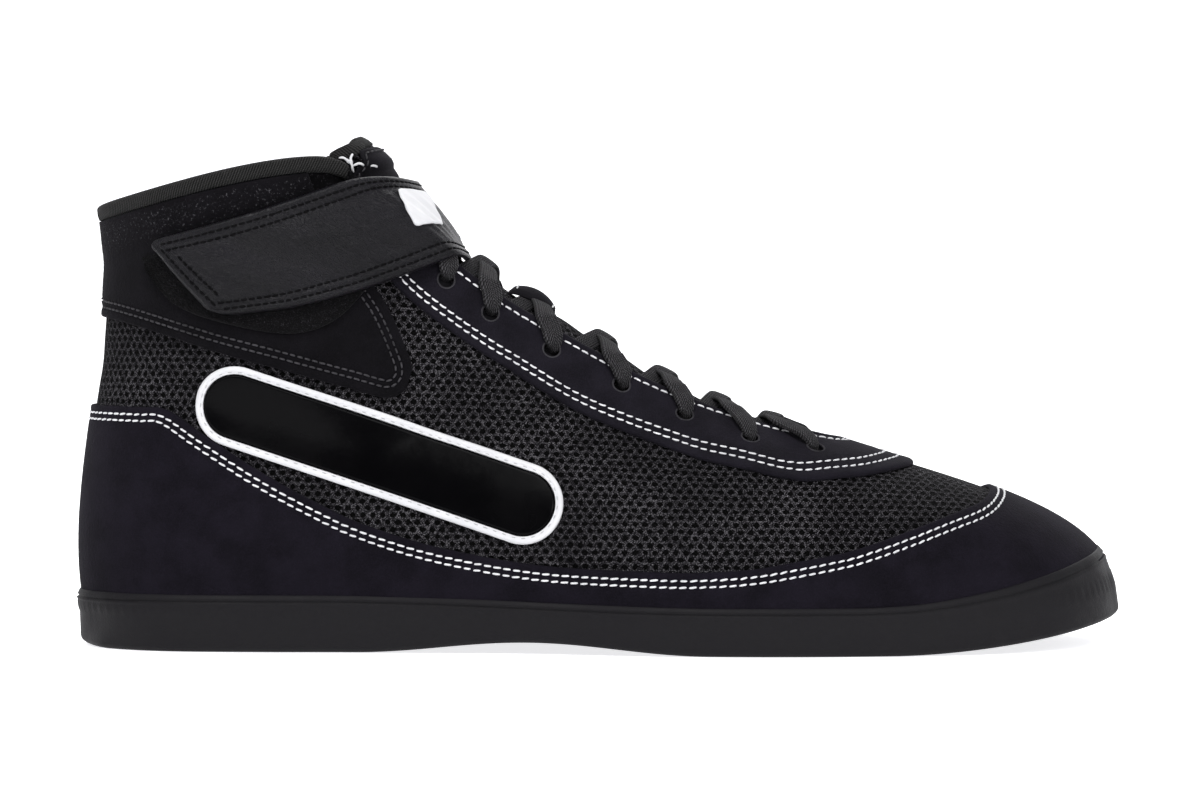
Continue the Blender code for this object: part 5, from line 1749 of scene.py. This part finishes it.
def build_side_panel(skin, gloss, pale, thread):
    """Plain glossy bar on the outer side, with a raised pale rim sewn round it."""
    count = 300
    start, end = in_metres(PANEL_ENDS)
    length = np.linalg.norm(end - start)
    along = (end - start) / length
    across = np.array([-along[1], along[0]])
    radius = PANEL_WIDTH / 2
    reach = length / 2 * (1 - np.cos(np.linspace(0.004, math.pi - 0.004, 220)))
    past = np.maximum(np.abs(reach - length / 2) - (length / 2 - radius), 0)
    half = np.sqrt(np.clip(radius**2 - past**2, 1e-8, None))
    share = np.sin(np.linspace(-math.pi / 2, math.pi / 2, 34))[:, None]
    target = start + along * reach[:, None] + across * (share * half)[..., None]
    depth = radius - np.hypot(past, share * half)
    station, up = skin.touch(-1, target)
    height = raw_edge(np.maximum(depth, 0), SIDE_PANEL, 0.0005)
    body = Body()
    body.sheet(skin.lay(station, up, GAP + height), skin.lay(station, up, GAP + 0 * up))
    panel = body.piece("gloss_side_panel", gloss, "side_panel")
    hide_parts("side_panel")

    rim = Body()
    offsets = GAP + np.linspace(0, PANEL_RIM, 11)
    target = np.stack([pill_line(PANEL_WIDTH, count, grow) for grow in offsets])
    station, up = skin.touch(-1, target)
    share = np.linspace(-1, 1, 11)[:, None]
    height = (SIDE_PANEL + 0.0002) * np.sqrt(np.clip(1.02 - share**2, 0, 1)) * 0.6 + SIDE_PANEL * 0.5
    dents = 0.00025 * bell(share + 0.45, 0.25)
    height = np.broadcast_to(height - dents, up.shape)
    rim.sheet(skin.lay(station, up, GAP + height)[::-1], skin.lay(station, up, GAP + 0 * up)[::-1], True)
    piece = rim.piece("pale_panel_rim", pale, "side_panel_rim")
    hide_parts("side_panel_rim")

    stitch = Body()
    line = pill_line(PANEL_WIDTH, 900, GAP + PANEL_RIM * 0.27)
    line = np.concatenate([line, line[:1]])
    station, up = skin.touch(-1, line)
    path = skin.lay(station, up, np.full_like(up, GAP + SIDE_PANEL * 0.75))
    stitches_along(stitch, path, skin.normal(station, up), PANEL_STITCH)
    stitch.piece("panel_stitches", thread, "side_panel_rim")


def smooth_path(points, count):
    """Smooth path through a few points, even in length."""
    fine = curve_at(np.asarray(points, float), np.linspace(0, len(points) - 1, 400))
    reached = lengths_along(fine)
    where = np.linspace(0, reached[-1], count)
    return np.stack([np.interp(where, reached, fine[:, axis]) for axis in range(3)], -1)


def add_lace(body, path, ups, widths, thicks, count=64):
    """A flat lace: a rounded flat section carried along the path, its faces square to the up vectors."""
    both = smooth_path(path, count)
    reached = lengths_along(np.asarray(path, float))
    guides = np.arange(len(path))
    key = np.interp(np.linspace(0, reached[-1], count), reached, guides)
    up = unit(np.stack([np.interp(key, guides, np.asarray(ups)[:, axis]) for axis in range(3)], -1))
    width = np.interp(key, guides, widths)
    thick = np.interp(key, guides, thicks)
    run = unit(np.gradient(both, axis=0))
    side = unit(np.cross(up, run))
    out = np.cross(run, side)
    sides = 18
    turns = np.arange(sides) * 2 * math.pi / sides + math.pi / 2
    flat_x = np.sign(np.cos(turns)) * np.abs(np.cos(turns)) ** 0.75
    flat_y = np.sign(np.sin(turns)) * np.abs(np.sin(turns)) ** 0.55
    bulge = 1 + 0.10 * np.cos(2 * turns)
    rings = (
        both[:, None]
        + side[:, None] * (flat_x * bulge)[None, :, None] * width[:, None, None] / 2
        + out[:, None] * flat_y[None, :, None] * thick[:, None, None] / 2
    )
    flat = np.append(flat_x, flat_x[0]) * LACE_WIDTH / 2
    coordinates = np.stack(np.broadcast_arrays(lengths_along(both)[:, None], flat[None]), -1)
    body.tube(rings, coordinates)


class LacePath:
    """Guide places of one lace with its outward directions, widths and thicknesses."""

    def __init__(self, skin):
        self.skin = skin
        self.places = []
        self.outs = []
        self.widths = []
        self.thicks = []

    def add(self, place, out, width=1.0, thick=1.0):
        self.places.append(place)
        self.outs.append(out)
        self.widths.append(width * LACE_WIDTH)
        self.thicks.append(thick * LACE_THICKNESS)

    def on_skin(self, station, up, distance, width=1.0, thick=1.0, past=0.0):
        station, up = np.array([station]), np.array([up])
        normal = self.skin.normal(station, up)[0]
        place = self.skin.lay(station, up, np.array([distance]))[0] + self.skin.climb(station)[0] * past
        self.add(place, normal, width, thick)


def build_laces(skin, finish, face):
    """Flat laces, each from under one edge of the throat over the tongue to a hole further forward."""
    targets = in_metres(EYELETS)
    stations = {side: skin.touch(side, targets) for side in (-1, 1)}
    middle = face.points[face.middle]
    middle_out = face.outward[face.middle]
    stay_top = GAP + OVERLAY
    body = Body()
    for number in range(len(EYELETS)):
        for side in (-1, 1):
            own_station, own_up = stations[side][0][number], stations[side][1][number]
            others = stations[-side][0]
            far_station = others[number - 1] if number else others[0] + (others[0] - others[1]) * 0.75
            lean = abs(abs(skin.half - own_station) - abs(skin.half - far_station))
            toward = 1 if side < 0 else -1
            near_station = own_station + toward * lean * 0.16
            lace = LacePath(skin)
            lace.on_skin(own_station, own_up + 0.008, -0.0055, 0.52, 1.3)
            lace.on_skin(own_station, own_up + 0.013, -0.0012, 0.54, 1.3)
            lace.on_skin(own_station, own_up + 0.020, stay_top + 0.0003, 0.72, 1.25)
            share = 0.40
            step_station = own_station + (near_station - own_station) * share
            lace.on_skin(step_station, own_up + (1 - own_up) * share, stay_top + 0.0017, 0.98, 1.15)
            lace.on_skin(near_station, own_up + (1 - own_up) * 0.75, stay_top + 0.0014)
            lace.on_skin(own_station + toward * lean * 0.30, 1.0, stay_top + 0.0012, past=0.0006)
            start, start_out = lace.places[-1], lace.outs[-1]
            end_station = np.array([far_station + toward * lean * 0.30])
            end = skin.lay(end_station, np.ones(1), np.array([-UPPER_WALL - 0.0010]))[0]
            end_out = skin.normal(end_station, np.ones(1))[0]
            nearest = int(np.argmin(np.linalg.norm(middle - (start + end) / 2, axis=-1)))
            front = middle_out[nearest]
            above = 0.0018 if side < 0 else 0.0032
            above += 0.0012 if number < 2 else 0.0
            top = middle[nearest] + front * above
            lace.add(start + (top - start) * 0.56 + front * 0.0009, unit(start_out * 0.44 + front * 0.56))
            lace.add(top, front)
            lace.add(top + (end - top) * 0.44 + front * 0.0004, unit(front * 0.56 + end_out * 0.44))
            lace.add(end, end_out, 0.95)
            down = skin.up_below_edge(end_station, 0.006)[0]
            lace.on_skin(end_station[0], down, -UPPER_WALL - 0.0012, 0.9, 0.8)
            add_lace(body, lace.places, lace.outs, lace.widths, lace.thicks)
    laces = body.piece("woven_laces", finish, "lace_crossings")
    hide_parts("lace_crossings")


def spokes(normal, turns):
    """Unit vectors square to a normal, turned round it."""
    across = unit(np.cross(normal, [1.0, 0.0, 0.0]))
    return np.cos(turns)[:, None] * across + np.sin(turns)[:, None] * np.cross(normal, across)


def punch_eyelets(skin, pieces):
    """Round holes along the skin's normal through the pieces, cut in one exact Boolean."""
    targets = in_metres(EYELETS)
    cutters = Body()
    turns = np.linspace(0, 2 * math.pi, 28, endpoint=False)
    for side in (-1, 1):
        station, up = skin.touch(side, targets)
        for centre, normal in zip(skin.point(station, up), skin.normal(station, up)):
            circle = spokes(normal, turns) * EYELET_DIAMETER / 2
            rings = np.stack([centre + circle + normal * away for away in (-0.0045, 0.004)])
            cutters.tube(rings)
    points = np.concatenate(cutters.points)
    faces = [[int(v) for v in dict.fromkeys(face.tolist())] for face in np.concatenate(cutters.faces)]
    mesh = bpy.data.meshes.new("eyelet_cutters")
    mesh.from_pydata(points.tolist(), [], faces)
    cutter = bpy.data.objects.new("eyelet_cutters", mesh)
    bpy.context.scene.collection.objects.link(cutter)
    for piece in pieces:
        modifier = piece.modifiers.new("holes", "BOOLEAN")
        modifier.solver = "EXACT"
        modifier.operation = "DIFFERENCE"
        modifier.object = cutter
        graph = bpy.context.evaluated_depsgraph_get()
        cut = bpy.data.meshes.new_from_object(piece.evaluated_get(graph))
        cut.name = piece.data.name
        piece.modifiers.clear()
        piece.data = cut
    bpy.data.objects.remove(cutter)


def build_eyelet_rims(skin, finish):
    """Pressed rims round the holes: thin rings, half sunk into the suede."""
    targets = in_metres(EYELETS)
    body = Body()
    turns = np.arange(32) * 2 * math.pi / 32
    section = np.arange(8) * 2 * math.pi / 8
    radius = EYELET_DIAMETER / 2 + 0.0001
    thick = 0.00028
    faces = closed_ring_quads(len(turns), len(section))
    for side in (-1, 1):
        station, up = skin.touch(side, targets)
        centres = skin.lay(station, up, np.full_like(up, GAP + OVERLAY - 0.00010))
        for centre, normal in zip(centres, skin.normal(station, up)):
            out = spokes(normal, turns)[:, None] * (radius + thick * np.cos(section))[None, :, None]
            body.add(centre + out + normal * (thick * np.sin(section))[None, :, None], faces)
    body.piece("eyelet_rims", finish, "eyestay")


def closed_ring_quads(rows, columns):
    """Cells of a grid that closes both ways."""
    row, column = np.meshgrid(np.arange(rows), np.arange(columns), indexing="ij")
    row, column = row.ravel(), column.ravel()
    a = row * columns + column
    b = row * columns + (column + 1) % columns
    c = (row + 1) % rows * columns + (column + 1) % columns
    d = (row + 1) % rows * columns + column
    return np.stack([a, d, c, b], -1)


def build_sole(skin, rubber):
    """Cup sole: floor ring, inner side, lip, outer side with groove and ribs, and treaded underside."""
    station = np.linspace(0, skin.rows, SOLE_COLUMNS, endpoint=False)
    lip = skin.up_at_height(station, lip_height)
    base = skin.point(station, np.zeros_like(station))
    lip_point = skin.point(station, lip)
    lip_normal = skin.normal(station, lip)
    level = unit(skin.normal(station, np.zeros_like(station)) * [1.0, 1.0, 0.0])
    rise = lip_point - base
    inside = base + level * GAP
    inside[:, 2] = floor_height(base[:, 0])
    side = GAP + CUP_WALL
    ribs = RIB_DEPTH * (np.cos(np.arange(SOLE_COLUMNS) * 2 * math.pi / SOLE_COLUMNS * RIB_COUNT) > 0.2)
    rings = [
        inside,
        lip_point + lip_normal * GAP * 0.9 - rise * 0.03,
        lip_point + lip_normal * (GAP + LIP_WALL * 0.35),
        lip_point + lip_normal * (GAP + LIP_WALL * 0.75),
        lip_point + lip_normal * (GAP + LIP_WALL) - rise * 0.04,
    ]
    for share, extra in SIDE_GROOVE:
        out = LIP_WALL + (CUP_WALL - LIP_WALL) * between(share, 0.98, 0.70) + GAP + extra
        rings.append(base + rise * share + lip_normal * out)
    for share in (0.60, 0.55, 0.45, 0.35, 0.25, 0.18):
        rib = ribs * soft(share, 0.20, 0.28) * soft(share, 0.60, 0.52)
        rings.append(base + rise * share + level * (side + rib)[:, None])
    foot = base + level * side
    foot[:, 2] = tread_height(foot[:, 0]) + EDGE_ROUND
    rings.append(foot)
    for turn in (0.4, 0.8, 1.2):
        ring = base + level * (side - EDGE_ROUND + EDGE_ROUND * math.cos(turn))
        ring[:, 2] = tread_height(ring[:, 0]) + EDGE_ROUND * (1 - math.sin(turn))
        rings.append(ring)
    under = base + level * (side - EDGE_ROUND)
    under[:, 2] = tread_height(under[:, 0])
    rings.append(under)
    rings = np.stack(rings)
    points = [rings.reshape(-1, 3)]
    faces = [grid_quads(len(rings), SOLE_COLUMNS, True, True)[0]]
    total = rings.shape[0] * SOLE_COLUMNS
    for number, turned in ((0, True), (len(rings) - 1, False)):
        fill, cells = span_ring(rings[number], number * SOLE_COLUMNS, total, not turned)
        points.append(fill.reshape(-1, 3))
        faces.append(cells[:, ::-1] if turned else cells)
        total += len(points[-1])
    body = Body()
    body.add(np.concatenate(points), np.concatenate(faces))
    piece = body.piece("rubber_sole", rubber, "outsole")
    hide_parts("outsole")


def span_ring(ring, start, total, treaded):
    """Points and cells that close a ring: rungs from its outer to its inner half, a fan at each end."""
    count = len(ring)
    place = np.arange(1, count // 2)
    left, right = ring[place], ring[count - place]
    share = np.linspace(0, 1, RUNG_POINTS + 2)[1:-1]
    fill = left[:, None] + (right - left)[:, None] * share[None, :, None]
    if treaded:
        fill[..., 2] = tread_height(fill[..., 0]) + tread_relief(fill, left, right)
    new = total + np.arange(fill[..., 0].size).reshape(fill.shape[:2])
    rungs = np.concatenate([start + place[:, None], new, start + count - place[:, None]], 1)
    cells = np.stack([rungs[:-1, :-1], rungs[:-1, 1:], rungs[1:, 1:], rungs[1:, :-1]], -1)
    toe = np.full(rungs.shape[1] - 1, start)
    heel = toe + count // 2
    first = np.stack([toe, rungs[0, 1:], rungs[0, :-1], rungs[0, :-1]], -1)
    last = np.stack([rungs[-1, :-1], rungs[-1, 1:], heel, heel], -1)
    return fill, np.concatenate([cells.reshape(-1, 4), first, last])


def tread_relief(fill, left, right):
    """Depth of the tread's grooves: a ring round the pivot, and cross grooves inside the margin."""
    x, y = fill[..., 0], fill[..., 1]
    centre = (PIVOT_ALONG - 0.5) * SHOE_LENGTH
    radius = np.hypot(x - centre, y)
    ring = soft(np.abs(radius - PIVOT_RADIUS - TREAD_GROOVE / 2), TREAD_GROOVE * 0.7, TREAD_GROOVE * 0.35)
    low = left[:, None, 1] + TREAD_MARGIN
    high = right[:, None, 1] - TREAD_MARGIN
    inside = soft(y, low - 0.001, low + 0.001) * soft(y, high + 0.001, high - 0.001)
    cross = 0 * x
    for share in TREAD_ROWS:
        away = np.abs(x - (share - 0.5) * SHOE_LENGTH)
        cross = np.maximum(cross, soft(away, TREAD_GROOVE * 0.7, TREAD_GROOVE * 0.35) * inside)
    return TREAD_DEPTH * np.maximum(ring, cross)


def build_insole(skin, finish):
    """Sock lining: a flat sheet with a soft rounded edge, spanned by rungs across."""
    station = np.linspace(0, skin.rows, 320, endpoint=False)
    base = skin.point(station, np.zeros_like(station))
    level = unit(skin.normal(station, np.zeros_like(station)) * [1.0, 1.0, 0.0])
    place = np.arange(1, len(station) // 2)
    ring = base - level * (UPPER_WALL + 0.0016)
    left, right = ring[place], ring[len(station) - place]
    share = np.linspace(0, 1, 40)
    low = left[:, None] + (right - left)[:, None] * share[None, :, None]
    low[..., 2] = floor_height(low[..., 0]) + GAP
    edge = np.minimum(share, 1 - share)
    dome = 0.0008 * soft(edge, 0.25, 0.0) - 0.0008 * soft(edge, 0.02, 0.0)
    high = low.copy()
    high[..., 2] += INSOLE_THICKNESS + dome
    body = Body()
    body.sheet(high[:, ::-1], low[:, ::-1])
    piece = body.piece("sock_lining", finish, "insole")
    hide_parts("insole")


def flat_stage(name, size, height, finish):
    """Floor of the studio, curved up behind the shoe into a plain wall."""
    turns = np.linspace(0, math.pi / 2, 24)
    bend = 0.9
    depth = 1.6
    y = np.concatenate([[-size], depth + bend * np.sin(turns), [depth + bend]])
    z = np.concatenate([[height], height + bend * (1 - np.cos(turns)), [size]])
    x = np.array([-size, size])
    points = np.stack(np.broadcast_arrays(x, y[:, None], z[:, None]), -1)
    faces = grid_quads(len(y), 2, False, True)[0]
    mesh = bpy.data.meshes.new(name)
    mesh.from_pydata(points.reshape(-1, 3).tolist(), [], faces.tolist())
    mesh.polygons.foreach_set("use_smooth", np.ones(len(faces), bool))
    thing = bpy.data.objects.new(name, mesh)
    bpy.context.scene.collection.objects.link(thing)
    thing.data.materials.append(finish)


def pale_floor():
    look = Look("pale floor", roughness=0.7, specular_ior_level=0.1, emission_strength=0.80)
    look.surface.inputs["Emission Color"].default_value = (0.98, 0.98, 1.0, 1.0)
    cloud = look.noise(0.4, 2.0)
    look.colour(look.mix(cloud, (0.86, 0.86, 0.87), (0.90, 0.90, 0.91)))
    return look.material


def area_light(name, place, aim, size, power, tint=(1.0, 1.0, 1.0)):
    light = bpy.data.lights.new(name, "AREA")
    light.shape = "RECTANGLE"
    light.size, light.size_y = size
    light.energy = power
    light.color = tint
    thing = bpy.data.objects.new(name, light)
    bpy.context.scene.collection.objects.link(thing)
    thing.location = place
    thing.rotation_euler = (Vector(aim) - Vector(place)).to_track_quat("-Z", "Y").to_euler()


def set_camera():
    """Long lens square to the outer side, a little above the floor, with the whole shoe in the frame."""
    camera = bpy.data.cameras.new("camera")
    camera.lens = CAMERA_LENS
    camera.sensor_width = 36
    camera.clip_start = 0.05
    camera.clip_end = 50
    thing = bpy.data.objects.new("camera", camera)
    bpy.context.scene.collection.objects.link(thing)
    thing.location = CAMERA_PLACE
    thing.rotation_euler = (Vector(CAMERA_AIM) - thing.location).to_track_quat("-Z", "Y").to_euler()
    bpy.context.scene.camera = thing
    bpy.context.scene.view_settings.view_transform = "Standard"


def light_scene():
    """Large soft lights above and in front, a pale surround, a white floor."""
    world = bpy.data.worlds.new("studio")
    bpy.context.scene.world = world
    world.use_nodes = True
    background = world.node_tree.nodes["Background"]
    background.inputs["Color"].default_value = (0.95, 0.96, 1.0, 1.0)
    background.inputs["Strength"].default_value = 0.16
    area_light("top light", (-0.20, -0.55, 1.15), (0.0, 0.0, 0.05), (0.9, 0.5), 13)
    area_light("front light", (0.45, -1.30, 0.95), (-0.04, 0.0, 0.10), (0.5, 0.35), 9)
    area_light("heel light", (-1.1, -0.9, 0.8), (-0.08, 0.0, 0.07), (0.5, 0.5), 3.5)
    area_light("toe light", (1.3, -0.7, 0.7), (0.05, 0.0, 0.06), (0.5, 0.5), 4)
    area_light("back light", (0.2, 1.0, 1.0), (0.0, 0.0, 0.1), (1.4, 0.5), 6)
    flat_stage("floor", 6.0, -0.0002, pale_floor())


def main():
    set_camera()
    skin = Skin()
    cloth = mesh_cloth("mesh cloth", PILE_FROM)
    foxing_line = SideLine(FOXING_EDGE)
    stay_line = SideLine(STAY_EDGE)
    ankle_line = SideLine(ANKLE_EDGE)
    stay_of = stay_depth(stay_line)
    white_thread = thread_look("white thread", (0.44, 0.44, 0.46), (0.70, 0.70, 0.71))
    dark_thread = thread_look("dark thread", (0.0040, 0.0038, 0.0045), (0.034, 0.032, 0.037), 0.3)
    leather = strap_leather()
    knit = ribbed_knit()
    upper = build_upper(skin, cloth, soft_lining())
    build_foxing(skin, suede("foxing suede", (0.0052, 0.0043, 0.0071)), foxing_line)
    eyestay = build_eyestay(skin, suede("eyestay suede", (0.0068, 0.0060, 0.0088), 0.8), stay_of)
    build_ankle_panel(skin, suede("ankle suede", (0.0030, 0.0027, 0.0035), 1.3, 1.0), ankle_line)
    film = gloss_film()
    rim = pale_film("pale rim")
    rim_thread = thread_look("rim thread", (0.25, 0.25, 0.26), (0.4, 0.4, 0.41))
    build_side_panel(skin, film, rim, rim_thread)
    build_binding(skin, knit)
    soft_leather = suede("tongue leather", (0.0065, 0.0060, 0.0075), 0.6)
    tongue_cloth = mesh_cloth("tongue mesh", 2 * TOP_HEIGHT)
    tongue = build_tongue(skin, tongue_cloth, knit, soft_leather, (dark_thread, white_thread))
    build_fastening_patch(skin, loop_pile("loop pile"))
    strap_thread = thread_look("strap thread", (0.0005, 0.0005, 0.0006), (0.0030, 0.0028, 0.0033), 0.05)
    build_strap(skin, leather, strap_thread, pale_film("strap plate"))
    build_laces(skin, woven_lace(), tongue)
    build_keeper(tongue, soft_leather, white_thread)
    build_sole(skin, plain_rubber("sole rubber", (0.0075, 0.0070, 0.0082), 0.6, 0.00012))
    build_insole(skin, suede("sock cloth", (0.010, 0.0095, 0.011), 1.5))
    punch_eyelets(skin, [upper, eyestay])
    build_eyelet_rims(skin, suede("pressed suede", (0.026, 0.025, 0.028), 0.5))
    build_white_stitches(skin, white_thread, foxing_line, stay_of)
    build_dark_stitches(skin, dark_thread, ankle_line)
    light_scene()


main()
